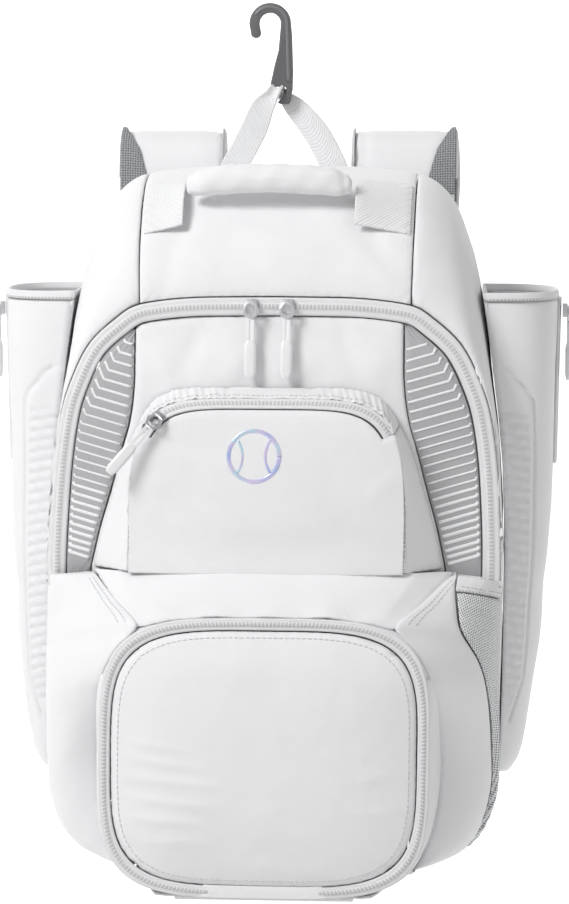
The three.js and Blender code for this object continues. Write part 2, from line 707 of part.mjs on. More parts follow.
function upperSideWall(side) {
  return clothWallOf((u, v) => {
    const high = v * Math.sin(wallSplit) ** upperSquareness;
    const turn = Math.asin(high ** (1 / upperSquareness));
    const place = upperWall(side > 0 ? turn : Math.PI - turn, u, 0);
    return point(place.x, place.y, Math.max(place.z, upperPocketFloor + seamGap));
  }, 3, 7, clothWall);
}
addPiece('upper_pocket_side_left', upperSideWall(-1), whiteCloth);
addPiece('upper_pocket_side_right', upperSideWall(1), whiteCloth);
addPiece('gathered_strip', clothWallOf((u, v) => {
  const turn = mix(wallSplit + stripEnd, Math.PI - wallSplit - stripEnd, 1 - u);
  const ends = THREE.MathUtils.smoothstep(Math.sin(turn), Math.sin(wallSplit), 0.9);
  return upperWall(turn, v, ends);
}, 32, 2, clothWall / 2), whiteCloth);

const lowerYokeTurn = 0.66;

// Yoke over the lower pocket, between the hips and the foot of the upper pocket
function yoke(u, v) {
  const side = 2 * u - 1;
  const low = hipEdge(hipCornerUp);
  const high = hipEdge(1);
  const turn = Math.PI / 2 - side * lowerYokeTurn;
  const foot = lowerOutline(turn, -looseSeam);
  const footPoint = point(foot.x, mix(lowerFrontY + zipThickness, low.y, Math.abs(side)), foot.z);
  const headX = side * (high.x - looseSeam);
  const half = upperPocketHalfWidth - seamGap;
  const off = (headX - upperPocketOffCentre) / half;
  const beyond = Math.max(0, (Math.abs(headX - upperPocketOffCentre) - half) / (high.x - half));
  const inside = Math.max(0, 1 - off * off);
  const headY = mix(upperFrontY - upperPocketCrown * inside, high.y, Math.min(1, beyond));
  const headPoint = point(headX, headY, upperPocketFloor - seamGap);
  const straight = mixPoints(footPoint, headPoint, v);
  const edge = hipEdge(mix(hipCornerUp, 1, v));
  const edgeLine = mixPoints(
    point(Math.sign(side) * lowerOutline(Math.PI / 2 - lowerYokeTurn, -looseSeam).x, low.y, foot.z),
    headPoint,
    v,
  );
  const pull = Math.abs(side) ** 4;
  const wantedX = Math.sign(side) * (edge.x - looseSeam - seamGap);
  return point(
    straight.x + (wantedX - edgeLine.x) * pull,
    mix(straight.y, edge.y, pull),
    mix(straight.z, Math.min(edge.z, upperPocketFloor - seamGap), pull),
  );
}
addPiece('yoke_panel', clothWallOf(yoke, 14, 5, clothWall), whiteCloth);

// Bat sleeves: flat open-topped tubes of embossed padded cloth on both sides.
// down goes from the rim to the foot, out is how far the sleeve stands out beyond the bag
// and deep its depth from front to back, as shares of the sizes of the rim.
const SLEEVE = [
  { down: 0.0, out: 1.0, deep: 1.0 },
  { down: 0.19, out: 0.962, deep: 0.99 },
  { down: 0.42, out: 0.92, deep: 0.96 },
  { down: 0.58, out: 0.855, deep: 0.93 },
  { down: 0.7, out: 0.78, deep: 0.89 },
  { down: 0.79, out: 0.69, deep: 0.85 },
  { down: 0.87, out: 0.6, deep: 0.81 },
  { down: 0.93, out: 0.52, deep: 0.76 },
  { down: 0.97, out: 0.43, deep: 0.69 },
  { down: 1.0, out: 0.27, deep: 0.56 },
];
const sleeveBackMargin = 10;
const sleeveMiddleY = -(sleeveBackMargin + sleeveDepth / 2);
const sleeveSides = 16;
const sleeveSquareness = 0.72;
const sleeveFootShare = 0.9;

function bodySideAt(z) {
  let low = 0.3;
  let high = 1;
  for (let i = 0; i < 30; i += 1) {
    const way = (low + high) / 2;
    if (outlinePoint(way, 'x', 'z').z < z) low = way;
    else high = way;
  }
  return outlinePoint(low, 'x', 'z').x;
}
function sleeveSection(side, down, inset, lift = 0) {
  const z = sleeveRimHeight - down * sleeveLength;
  const inner = bodySideAt(z) + looseSeam + Math.max(0, inset);
  const outer = bodyHalfWidth + rowValue(SLEEVE, 'down', 'out', down) * sleeveReach - inset;
  const half = (rowValue(SLEEVE, 'down', 'deep', down) * sleeveDepth) / 2 - inset;
  const ring = [];
  for (let k = 0; k < sleeveSides; k += 1) {
    const turn = mix(-Math.PI / 2, Math.PI / 2, k / (sleeveSides - 1));
    const x = mix(inner, outer, Math.cos(turn) ** sleeveSquareness);
    ring.push(point(side * x, sleeveMiddleY + half * power(Math.sin(turn), sleeveSquareness), z + lift));
  }
  return ring;
}
function batSleeve(side) {
  const rimShare = (sleeveRimBand + seamGap) / sleeveLength;
  const downs = [1, 0.985, 0.95, 0.9, 0.8, 0.66, 0.5, 0.34, 0.18, rimShare];
  const shell = loftThrough(downs.map((down) => sleeveSection(side, down, 0)));
  const hollowDowns = [sleeveFootShare, 0.8, 0.66, 0.5, 0.34, 0.18, rimShare];
  const hollow = hollowDowns.map((down) => sleeveSection(side, down, sleeveWall));
  hollow.push(sleeveSection(side, rimShare, sleeveWall, sleeveRimBand));
  return cutAway(shell, loftThrough(hollow));
}
const rimProud = 1.2;
function sleeveRim(side) {
  const band = sleeveRimBand / sleeveLength;
  const outer = [sleeveSection(side, band, -rimProud), sleeveSection(side, 0, -rimProud)];
  const hole = [
    sleeveSection(side, band, sleeveWall + rimProud / 2, -sleeveRimBand),
    sleeveSection(side, 0, sleeveWall + rimProud / 2, sleeveRimBand),
  ];
  return cutAway(loftThrough(outer), loftThrough(hole));
}
function sleeveZip(side) {
  const places = [];
  const pieces = 4;
  for (let i = 0; i <= pieces; i += 1) {
    const down = mix(sleeveZipLength / sleeveLength, (sleeveRimBand + seamGap) / sleeveLength, i / pieces);
    const x = bodyHalfWidth + rowValue(SLEEVE, 'down', 'out', down) * sleeveReach;
    const at = point(side * (x + zipThickness / 2 + seamGap), sleeveMiddleY, sleeveRimHeight - down * sleeveLength);
    places.push({ at, across: point(0, 1, 0), through: point(1, 0, 0) });
  }
  return bandAlong(places, mainZipWidth * 0.8, zipThickness);
}
for (const [word, side] of [['left', -1], ['right', 1]]) {
  addPiece(`bat_sleeve_${word}`, batSleeve(side), whiteCloth);
  addPiece(`sleeve_rim_${word}`, sleeveRim(side), whiteTape);
  addPiece(`sleeve_zip_${word}`, sleeveZip(side), whiteTape);
}

// Grab handle: a padded roll over the top panel, between two tabs in the top seams
const handleAcross = 0.56;
const handleDrop = 6;
const handleSides = 10;
function onTop(way, across, raise) {
  const place = gusset(way, across);
  const alongPanel = gusset(way, across + 0.01).sub(gusset(way, across - 0.01));
  const sideways = gusset(way * 0.999, across).sub(place);
  const out = alongPanel.cross(sideways).normalize();
  if (out.y > 0) out.negate();
  return place.addScaledVector(out, raise);
}
const handleCentre = onTop(1, handleAcross, handleStandOff - handleDrop + handleHeight / 2);
addPiece('grab_handle', loftThrough([-1, -0.94, -0.8, -0.5, -0.17, 0.17, 0.5, 0.8, 0.94, 1].map((share) => {
  const taper = 1 - 0.3 * Math.abs(share) ** 8;
  const drop = handleDrop * Math.abs(share) ** 3;
  const ring = [];
  for (let k = 0; k < handleSides; k += 1) {
    const turn = (k / handleSides) * 2 * Math.PI;
    ring.push(point(
      handleOffCentre + (share * handleLength) / 2,
      handleCentre.y + (Math.cos(turn) * handleThickness * taper) / 2 + drop * 0.5,
      handleCentre.z + (power(Math.sin(turn), 0.8) * handleHeight * taper) / 2 - drop,
    ));
  }
  return ring;
})), whiteCloth);
const tabSeamWay = topSeamWay + 0.003;
const tabRise = handleStandOff - handleDrop;
function handleTab(side) {
  let wayIn = 0.93;
  while (outlinePoint(wayIn, 'x', 'z').x > side * handleOffCentre + handleLength / 2 + looseSeam * 2) wayIn += 0.0005;
  const reach = tabLength / (mainDepth * (1 - fullestShare) * 1.3);
  return clothWallOf((u, v) => {
    const way = side * mix(wayIn, tabSeamWay, u);
    const across = mix(handleAcross - reach * 0.5, handleAcross + reach * 0.5, v);
    const raise = clothWall + seamGap + tabRise * (1 - u) ** 2 * Math.sin(Math.PI * (0.2 + 0.8 * (1 - v)));
    return onTop(way, across, raise);
  }, 4, 5, clothWall);
}
addPiece('handle_tab_left', handleTab(-1), whiteWebbing);
addPiece('handle_tab_right', handleTab(1), whiteWebbing);

// Fence hook: a flat moulded hook, with an eye for the hang loop at its foot.
// Lengths of the outline are shares of the hook's height, from the middle of the crook.
const crookMiddle = point(hookOffCentre, -hookSetBack, baseLift + bodyHeight + hookRise);
const hookOuter = hookCrookRadius + hookRodWidth;
const hookBodyLength = hookHeight - hookOuter;
function hookShape() {
  const r = hookCrookRadius;
  const drop = hookBodyLength;
  const shape = new THREE.Shape();
  shape.moveTo(hookOuter, 0);
  shape.absarc(0, 0, hookOuter, 0, Math.PI, false);
  shape.lineTo(-hookOuter + 0.15 * r, -0.8 * r);
  shape.absarc(-hookOuter + 0.15 * r + hookRodWidth / 2, -0.85 * r, hookRodWidth / 2, Math.PI, 2 * Math.PI, false);
  shape.lineTo(-r, 0);
  shape.absarc(0, 0, r, Math.PI, 0, true);
  shape.lineTo(0.78 * r, -0.33 * drop);
  shape.lineTo(0.42 * r, -0.51 * drop);
  shape.lineTo(0.08 * r, -0.72 * drop);
  shape.lineTo(-0.04 * r, -0.84 * drop);
  shape.lineTo(0.22 * r, -0.785 * drop);
  shape.lineTo(1.45 * r, -0.785 * drop);
  shape.lineTo(1.52 * r, -0.825 * drop);
  shape.lineTo(1.42 * r, -0.87 * drop);
  shape.lineTo(0.66 * r, -0.985 * drop);
  shape.lineTo(1.0 * r, -drop);
  shape.lineTo(1.75 * r, -drop);
  shape.lineTo(hookOuter + 0.15 * r, -0.82 * drop);
  shape.lineTo(hookOuter + 0.2 * r, -0.6 * drop);
  shape.lineTo(hookOuter + 0.1 * r, -0.15 * drop);
  return shape;
}
const hookBody = new THREE.ExtrudeGeometry(hookShape(), {
  depth: hookThickness, bevelEnabled: false, curveSegments: 8,
});
hookBody.rotateX(Math.PI / 2).translate(crookMiddle.x, crookMiddle.y + hookThickness / 2, crookMiddle.z);
addPiece('fence_hook', hookBody, greyPlastic);

// Hang loop: one webbing, folded narrow where it goes through the eye of the hook.
// right and back are measured from the eye, high is the share of the way up to it.
const eye = point(
  crookMiddle.x + 0.8 * hookCrookRadius,
  -hookSetBack,
  crookMiddle.z - 0.828 * hookBodyLength,
);
const loopFootLeft = 35.5;
const loopFootRight = 44;
const loopFootSink = 1.4;
const LOOP = [
  { right: -1.0, back: 0.0, high: 0.0, wide: 1.0, thick: 1.0, lean: 0.0 },
  { right: -0.54, back: -0.4, high: 0.5, wide: 1.0, thick: 1.0, lean: 0.0 },
  { right: -0.3, back: -1.05, high: 0.83, wide: 0.8, thick: 1.1, lean: 0.0 },
  { right: -0.12, back: -1.15, high: 0.96, wide: 0.5, thick: 1.4, lean: 0.2 },
  { right: -0.03, back: -0.84, high: 1.02, wide: 0.42, thick: 1.4, lean: 0.75 },
  { right: 0.0, back: 0.0, high: 1.0, wide: 0.4, thick: 1.3, lean: 1.0 },
  { right: 0.03, back: 0.84, high: 1.02, wide: 0.42, thick: 1.4, lean: 1.25 },
  { right: 0.1, back: 1.15, high: 0.94, wide: 0.5, thick: 1.4, lean: 1.8 },
  { right: 0.3, back: 1.0, high: 0.78, wide: 0.85, thick: 1.1, lean: 2.0 },
  { right: 0.66, back: 0.5, high: 0.46, wide: 1.0, thick: 1.0, lean: 2.0 },
  { right: 1.0, back: 0.0, high: 0.0, wide: 1.0, thick: 1.0, lean: 2.0 },
];
// Height of the top panel under the inner end of a foot of the loop
function loopFootAt(side) {
  const reach = (side < 0 ? loopFootLeft : loopFootRight) - webbingWidth / 2;
  const x = Math.abs(eye.x + side * reach);
  let low = topSeamWay;
  let high = 1;
  for (let i = 0; i < 30; i += 1) {
    const way = (low + high) / 2;
    if (outlinePoint(way, 'x', 'z').x > x) low = way;
    else high = way;
  }
  let back = 0;
  let forward = backShare;
  for (let i = 0; i < 30; i += 1) {
    const across = (back + forward) / 2;
    if (gusset(low, across).y > -hookSetBack - webbingThickness / 2) back = across;
    else forward = across;
  }
  return gusset(low, back).z - loopFootSink;
}
addPiece('hang_loop', loftThrough(LOOP.map((row) => {
  const reach = row.right < 0 ? loopFootLeft : loopFootRight;
  const at = point(
    eye.x + row.right * reach,
    row.back * (hookThickness / 2 + webbingThickness) - hookSetBack,
    mix(loopFootAt(Math.sign(row.right)), eye.z, row.high),
  );
  const slant = row.right < 0 ? -0.42 : 0.42;
  const upright = 1 - Math.abs(1 - row.lean);
  const across = point(1, 0, row.high === 0 ? 0 : slant * (1 - upright)).normalize();
  const turn = (row.lean * Math.PI) / 2;
  const through = point(0, Math.cos(turn), -Math.sin(turn));
  return [[-0.5, -0.5], [0.5, -0.5], [0.5, 0.5], [-0.5, 0.5]].map(([a, b]) => at.clone()
    .addScaledVector(across, a * webbingWidth * row.wide)
    .addScaledVector(through, b * webbingThickness * row.thick));
})), whiteWebbing);

// Shoulder straps: up from the back panel, over and down behind the bag.
// back is a share of how far the strap stands off, high of the bag's height (top shares are
// of the rise above it), spread moves it sideways by a share of its width.
const STRAP = [
  { along: 0.0, back: 0.0, high: 0.9, rise: 0.0, spread: 0.0, wide: 1.0 },
  { along: 0.08, back: 0.01, high: 0.958, rise: 0.0, spread: 0.0, wide: 1.0 },
  { along: 0.14, back: 0.12, high: 1.0, rise: 0.33, spread: 0.0, wide: 1.0 },
  { along: 0.2, back: 0.4, high: 1.0, rise: 0.75, spread: 0.0, wide: 1.0 },
  { along: 0.27, back: 0.76, high: 1.0, rise: 0.45, spread: 0.01, wide: 1.0 },
  { along: 0.34, back: 0.95, high: 0.975, rise: 0.0, spread: 0.02, wide: 1.0 },
  { along: 0.45, back: 1.0, high: 0.89, rise: 0.0, spread: 0.0, wide: 0.98 },
  { along: 0.6, back: 0.98, high: 0.745, rise: 0.0, spread: -0.1, wide: 0.94 },
  { along: 0.75, back: 0.88, high: 0.6, rise: 0.0, spread: -0.12, wide: 0.88 },
  { along: 0.9, back: 0.7, high: 0.465, rise: 0.0, spread: 0.02, wide: 0.8 },
  { along: 1.0, back: 0.55, high: 0.38, rise: 0.0, spread: 0.12, wide: 0.72 },
];
const strapFirstY = seamGap + strapThickness / 2;
function strapPlace(side, along) {
  const value = (column) => rowValue(STRAP, 'along', column, along);
  return point(
    side * (strapSpacing + value('spread') * strapWidth),
    strapFirstY + value('back') * (strapStandOff - strapFirstY),
    baseLift + value('high') * bodyHeight + value('rise') * strapRise,
  );
}
function strapFrame(side, along) {
  const step = 0.004;
  const ahead = strapPlace(side, Math.min(1, along + step));
  const behind = strapPlace(side, Math.max(0, along - step));
  const run = ahead.sub(behind).setX(0).normalize();
  return { at: strapPlace(side, along), out: point(0, -run.z, run.y) };
}
function strapRing(side, along, raise, thickness, inset) {
  const { at, out } = strapFrame(side, along);
  const width = rowValue(STRAP, 'along', 'wide', along) * strapWidth - inset * 2;
  return [
    [-0.5, -0.2], [-0.46, -0.5], [0.46, -0.5], [0.5, -0.2],
    [0.5, 0.2], [0.46, 0.5], [-0.46, 0.5], [-0.5, 0.2],
  ].map(([a, b]) => point(at.x + a * width, at.y, at.z).addScaledVector(out, raise + b * thickness));
}
const strapStations = [0, 0.04, 0.08, 0.11, 0.14, 0.17, 0.2, 0.235, 0.27, 0.305, 0.34, 0.4, 0.5, 0.6, 0.7, 0.8, 0.9, 1];
const liningStart = 0.1;
const liningStations = [liningStart, ...strapStations.filter((along, i) => along > liningStart && i % 2 === 1)];
function shoulderStrap(side) {
  return loftThrough(strapStations.map((along) => strapRing(side, along, 0, strapThickness, 0)));
}
function strapLiningBand(side) {
  const raise = -(strapThickness / 2 + seamGap + strapLining / 2);
  return loftThrough(liningStations.map((along) => strapRing(side, along, raise, strapLining, strapLining)));
}
const buckleLength = 26;
const buckleBar = 5;
function strapBuckle(side) {
  const width = tailWebbingWidth + buckleBar * 2;
  const shape = new THREE.Shape();
  shape.moveTo(-width / 2, 0);
  shape.lineTo(width / 2, 0);
  shape.lineTo(width / 2, buckleLength);
  shape.lineTo(-width / 2, buckleLength);
  for (const foot of [buckleBar, buckleLength / 2 + buckleBar / 2]) {
    const slot = new THREE.Path();
    const high = foot + buckleLength / 2 - buckleBar * 1.5;
    slot.moveTo(-tailWebbingWidth / 2, foot);
    slot.lineTo(-tailWebbingWidth / 2, high);
    slot.lineTo(tailWebbingWidth / 2, high);
    slot.lineTo(tailWebbingWidth / 2, foot);
    shape.holes.push(slot);
  }
  const buckle = new THREE.ExtrudeGeometry(shape, { depth: buckleThickness, bevelEnabled: false });
  const foot = strapPlace(side, 1);
  return buckle.rotateX(Math.PI / 2)
    .translate(foot.x, foot.y + buckleThickness / 2, foot.z - buckleLength - looseSeam);
}
const buckleThickness = 5;
const tailFootWay = 0.27;
function tailWebbing(side) {
  const foot = strapPlace(side, 1);
  const seam = seamPoint(tailFootWay, tailWebbingWidth * 0.8, 'backX', 'backZ');
  const top = point(foot.x, foot.y - buckleThickness, foot.z - buckleLength * 0.3);
  const end = point(side * seam.x, seamGap + webbingThickness / 2, seam.z + tailWebbingWidth / 2);
  const low = point(side * seam.x, seamGap + webbingThickness / 2, seam.z);
  const slack = point(mix(top.x, end.x, 0.6), mix(top.y, end.y, 0.75), mix(top.z, end.z, 0.5));
  const curve = new THREE.QuadraticBezierCurve3(top, slack, end);
  const places = [0, 0.2, 0.4, 0.6, 0.8, 1].map((s) => ({
    at: curve.getPoint(s), across: point(1, 0, 0), through: point(0, 1, 0),
  }));
  places.push({ at: low, across: point(1, 0, 0), through: point(0, 1, 0) });
  return bandAlong(places, tailWebbingWidth, webbingThickness);
}
for (const [word, side] of [['left', -1], ['right', 1]]) {
  addPiece(`shoulder_strap_${word}`, shoulderStrap(side), whiteCloth);
  addPiece(`strap_lining_${word}`, strapLiningBand(side), greyMesh);
  addPiece(`strap_buckle_${word}`, strapBuckle(side), greyPlastic);
  addPiece(`strap_tail_${word}`, tailWebbing(side), whiteWebbing);
}

// Zip pulls. Each slider carries a metal ring, and from it hangs a moulded grip on a cord loop.
function boxAt(width, depth, height, x, y, z) {
  return new THREE.BoxGeometry(width, depth, height).translate(x, y, z);
}
const sliderDepth = 3.5;
const ringLength = 13;
const ringBar = 2.4;
const pivot = point(0, seamGap - sliderDepth, sliderLength / 3);
function sliderPiece(tilt) {
  const ring = new THREE.Shape();
  ring.absellipse(0, -ringLength / 2, tabRingWidth / 2, ringLength / 2, 0, 2 * Math.PI, false);
  const hole = new THREE.Path();
  hole.absellipse(0, -ringLength / 2, tabRingWidth / 2 - ringBar, ringLength / 2 - ringBar, 0, 2 * Math.PI, true);
  ring.holes.push(hole);
  const tab = new THREE.ExtrudeGeometry(ring, { depth: ringBar, bevelEnabled: false, curveSegments: 4 });
  tab.rotateX(Math.PI / 2 - tilt).translate(pivot.x, pivot.y, pivot.z);
  return joined(boxAt(sliderLength * 0.8, sliderDepth, sliderLength, 0, -sliderDepth / 2, 0), tab);
}
function gripPiece(tilt) {
  const top = -ringLength - seamGap;
  const cordLength = pullCordLength + gripLength / 4;
  const cords = [-1, 1].map((side) => boxAt(
    pullCordWidth, pullCordWidth, cordLength, side * pullCordWidth * 0.8, -ringBar / 2, top - cordLength / 2,
  ));
  const grip = loftThrough([0, 0.15, 0.85, 1].map((share, i) => {
    const narrow = i === 0 || i === 3 ? 0.62 : 1;
    const ring = [];
    for (let k = 0; k < 8; k += 1) {
      const turn = ((k + 0.5) / 8) * 2 * Math.PI;
      ring.push(point(
        (power(Math.cos(turn), 0.6) * gripWidth * narrow) / 2,
        (power(Math.sin(turn), 0.6) * gripThickness * narrow) / 2 - ringBar / 2,
        top - pullCordLength - share * gripLength,
      ));
    }
    return ring;
  }));
  return joined(grip, ...cords).rotateX(-tilt).translate(pivot.x, pivot.y, pivot.z);
}
function addPull(name, place, facing, lean, tilt) {
  const turn = new THREE.Matrix4().makeRotationZ(facing);
  const sideways = new THREE.Matrix4().makeRotationY(lean);
  const move = new THREE.Matrix4().makeTranslation(place.x, place.y, place.z);
  const whole = move.multiply(turn).multiply(sideways);
  addPiece(`${name}_slider`, sliderPiece(tilt).applyMatrix4(whole), steel);
  addPiece(`${name}_pull`, gripPiece(tilt).applyMatrix4(whole), whitePlastic);
}
const pullTilt = Math.asin(doorCrown / (ringLength + pullCordLength + gripLength));
const mainCoilTop = frontSeam(1, seamGap + mainZipWidth / 2).z;
const mainSliderY = -mainDepth - zipProud - seamGap;
addPull('main_zip_left', point(mainPullLeft, mainSliderY, mainCoilTop), 0, 0, pullTilt);
addPull('main_zip_right', point(mainPullRight, mainSliderY, mainCoilTop), 0, 0, pullTilt);
const upperEnd = upperArch(Math.PI - upperPullTurn, upperZipWidth / 2);
addPull('upper_zip', point(upperEnd.x, upperFrontY - seamGap, upperEnd.z), 0, upperPullLean, pullTilt);
for (const [word, side] of [['left', -1], ['right', 1]]) {
  const x = bodyHalfWidth + sleeveReach + zipThickness + seamGap * 2;
  const z = sleeveRimHeight - sleeveRimBand - sliderLength;
  addPull(`sleeve_zip_${word}`, point(side * x, sleeveMiddleY, z), (side * Math.PI) / 2, 0, 0);
}

// The bag hangs from the inside of the crook, so that point becomes the origin
bag.position.set(-crookMiddle.x, -crookMiddle.y, -(crookMiddle.z + hookCrookRadius));

export default backpack;
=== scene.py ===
import math

import bmesh
import bpy
from mathutils import Matrix, Vector, noise
from mathutils.kdtree import KDTree


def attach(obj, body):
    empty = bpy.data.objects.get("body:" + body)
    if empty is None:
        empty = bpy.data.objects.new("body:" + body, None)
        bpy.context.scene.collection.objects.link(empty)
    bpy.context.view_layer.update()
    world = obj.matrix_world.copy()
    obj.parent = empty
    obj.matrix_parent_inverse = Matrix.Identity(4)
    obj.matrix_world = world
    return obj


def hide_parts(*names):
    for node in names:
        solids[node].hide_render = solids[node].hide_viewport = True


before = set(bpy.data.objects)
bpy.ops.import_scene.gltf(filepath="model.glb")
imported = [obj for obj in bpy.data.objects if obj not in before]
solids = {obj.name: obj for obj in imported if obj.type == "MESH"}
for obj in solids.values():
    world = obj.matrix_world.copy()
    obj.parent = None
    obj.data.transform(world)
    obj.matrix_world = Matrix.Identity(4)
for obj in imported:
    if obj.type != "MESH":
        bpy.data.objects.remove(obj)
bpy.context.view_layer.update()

# Studio. The camera looks slightly down and from a little to the right, as in the photograph.
# A broad soft light stands at the upper left; below the hanging bag lies a pale floor with a painted glow that rises
# towards the back.
CAMERA_TARGET = Vector((0.0176, -0.112, -0.3205))
CAMERA_TURN = math.radians(3.5)
CAMERA_RISE = math.radians(7.0)
CAMERA_DISTANCE = 2.35
CAMERA_LENS = 127.67
FLOOR_HEIGHT = -0.70
camera_back = Vector((
    math.sin(CAMERA_TURN) * math.cos(CAMERA_RISE),
    -math.cos(CAMERA_TURN) * math.cos(CAMERA_RISE),
    math.sin(CAMERA_RISE),
))
camera = bpy.data.objects.new("camera", bpy.data.cameras.new("camera"))
camera.location = CAMERA_TARGET + camera_back * CAMERA_DISTANCE
camera.rotation_euler = (-camera_back).to_track_quat("-Z", "Y").to_euler()
camera.data.lens = CAMERA_LENS
camera.data.clip_end = 200
bpy.context.scene.collection.objects.link(camera)
bpy.context.scene.camera = camera
bpy.context.scene.view_settings.view_transform = "Standard"


def hang_light(name, place, size, power, target=CAMERA_TARGET):
    lamp = bpy.data.lights.new(name, "AREA")
    lamp.shape = "DISK"
    lamp.size = size
    lamp.energy = power
    light = bpy.data.objects.new(name, lamp)
    light.location = place
    light.rotation_euler = (target - light.location).to_track_quat("-Z", "Y").to_euler()
    bpy.context.scene.collection.objects.link(light)


hang_light("key_light", Vector((-1.5, -1.6, 1.45)), 1.0, 52)
hang_light("fill_light", Vector((2.2, -2.4, 0.2)), 2.0, 7)
hang_light("back_light", Vector((-0.6, 2.2, 1.6)), 1.6, 10)

world = bpy.data.worlds.new("studio")
world.use_nodes = True
world.node_tree.nodes["Background"].inputs["Color"].default_value = (1.0, 1.0, 1.0, 1.0)
world.node_tree.nodes["Background"].inputs["Strength"].default_value = 0.45
bpy.context.scene.world = world

floor_paint = bpy.data.materials.new("floor_paint")
floor_paint.use_nodes = True
floor_paint.node_tree.nodes["Principled BSDF"].inputs["Base Color"].default_value = (0.75, 0.75, 0.75, 1.0)
floor_paint.node_tree.nodes["Principled BSDF"].inputs["Roughness"].default_value = 0.9
floor_paint.node_tree.nodes["Principled BSDF"].inputs["Specular IOR Level"].default_value = 0.0
floor_paint.node_tree.nodes["Principled BSDF"].inputs["Emission Color"].default_value = (1.0, 1.0, 1.0, 1.0)
floor_place = floor_paint.node_tree.nodes.new("ShaderNodeTexCoord")
floor_split = floor_paint.node_tree.nodes.new("ShaderNodeSeparateXYZ")
# Painted glow: the floor gives off its own light, none at the front and rising to its full strength under and behind
# the bag, so that the far floor reads as white as the backdrop.
floor_glow = floor_paint.node_tree.nodes.new("ShaderNodeMapRange")
floor_glow.inputs["From Min"].default_value = -0.3
floor_glow.inputs["From Max"].default_value = 0.0
floor_glow.inputs["To Max"].default_value = 0.6
floor_paint.node_tree.links.new(floor_place.outputs["Object"], floor_split.inputs["Vector"])
floor_paint.node_tree.links.new(floor_split.outputs["Y"], floor_glow.inputs["Value"])
floor_paint.node_tree.links.new(
    floor_glow.outputs["Result"], floor_paint.node_tree.nodes["Principled BSDF"].inputs["Emission Strength"],
)
floor_mesh = bmesh.new()
bmesh.ops.create_circle(floor_mesh, cap_ends=True, segments=96, radius=30.0)
bmesh.ops.translate(floor_mesh, verts=floor_mesh.verts, vec=(0, 0, FLOOR_HEIGHT))
floor_data = bpy.data.meshes.new("floor")
floor_mesh.to_mesh(floor_data)
floor_mesh.free()
floor = bpy.data.objects.new("floor", floor_data)
floor.data.materials.append(floor_paint)
bpy.context.scene.collection.objects.link(floor)

BACKDROP_AWAY = 9.0
backdrop_paint = bpy.data.materials.new("backdrop_paint")
backdrop_paint.use_nodes = True
backdrop_paint.node_tree.nodes["Principled BSDF"].inputs["Emission Color"].default_value = (1.0, 1.0, 1.0, 1.0)
backdrop_paint.node_tree.nodes["Principled BSDF"].inputs["Emission Strength"].default_value = 0.95
backdrop_mesh = bmesh.new()
bmesh.ops.create_grid(backdrop_mesh, x_segments=1, y_segments=1, size=9.0)
bmesh.ops.rotate(backdrop_mesh, verts=backdrop_mesh.verts, matrix=Matrix.Rotation(math.pi / 2, 3, "X"))
bmesh.ops.translate(backdrop_mesh, verts=backdrop_mesh.verts, vec=(0, BACKDROP_AWAY, 0))
backdrop_data = bpy.data.meshes.new("backdrop")
backdrop_mesh.to_mesh(backdrop_data)
backdrop_mesh.free()
backdrop = bpy.data.objects.new("backdrop", backdrop_data)
backdrop.data.materials.append(backdrop_paint)
bpy.context.scene.collection.objects.link(backdrop)

# Main shell: white padded cloth, cut in a gusset that runs round the bag, between the back seam
# and the front seam. Lengths are millimetres in the bag's own place: x to the right, the front
# faces -y, z up from the base plate. hung() moves a point to where the bag hangs.
BODY_HEIGHT = 515
BODY_HALF_WIDTH = 167
MAIN_DEPTH = 148
SEAM_GAP = 0.3
LOOSE_SEAM = 0.8
BASE_LIFT = 3.3
FOOT_SWAY = 4
CROOK = (-12.6, -5.0, 631.5)
OUTLINE = {
    "way": (0.0, 0.14, 0.2, 0.25, 0.31, 0.42, 0.53, 0.62, 0.7, 0.77, 0.83, 0.88, 0.92, 0.96, 1.0),
    "x": (0.0, 0.6, 0.84, 0.955, 1.0, 1.005, 1.0, 0.977, 0.935, 0.89, 0.835, 0.747, 0.6, 0.3, 0.0),
    "z": (0.0, 0.0, 0.018, 0.06, 0.13, 0.285, 0.45, 0.596, 0.716, 0.819, 0.895, 0.957, 0.988, 0.998, 1.0),
    "back_x": (0.0, 0.6, 0.81, 0.92, 0.955, 0.96, 0.955, 0.93, 0.893, 0.843, 0.79, 0.71, 0.575, 0.29, 0.0),
    "back_z": (0.01, 0.01, 0.028, 0.068, 0.132, 0.285, 0.45, 0.592, 0.708, 0.805, 0.877, 0.934, 0.963, 0.976, 0.98),
    "front_x": (0.0, 0.6, 0.81, 0.93, 0.985, 0.99, 0.99, 0.972, 0.932, 0.875, 0.812, 0.702, 0.584, 0.3, 0.0),
    "front_z": (0.0, 0.008, 0.032, 0.072, 0.122, 0.275, 0.436, 0.566, 0.662, 0.716, 0.755, 0.79, 0.813, 0.823, 0.824),
}
FULLEST_SHARE = 0.26
BACK_SHARE = 0.22
SHOULDER_FULLNESS = 1.15
HIP_TOP_WAY = 0.522
ZIP_END_WAY = 0.537
TOP_SEAM_WAY = 0.92


def read_row(table, key, column, at):
    """The value of a column between the rows of a table, without overshoot."""
    keys, values = table[key], table[column]
    last = len(keys) - 1
    if at <= keys[0]:
        return values[0]
    if at >= keys[last]:
        return values[last]
    i = 0
    while at > keys[i + 1]:
        i += 1

    def slope(k):
        return (values[k + 1] - values[k]) / (keys[k + 1] - keys[k])

    def tangent(k):
        if k == 0:
            return slope(0)
        if k == last:
            return slope(last - 1)
        before, after = slope(k - 1), slope(k)
        if before * after <= 0:
            return 0.0
        return 2 * before * after / (before + after)

    span = keys[i + 1] - keys[i]
    s = (at - keys[i]) / span
    low = values[i] * (1 + 2 * s) * (1 - s) ** 2 + tangent(i) * span * s * (1 - s) ** 2
    high = values[i + 1] * s * s * (3 - 2 * s) + tangent(i + 1) * span * s * s * (s - 1)
    return low + high


def mix(a, b, s):
    return a + (b - a) * s


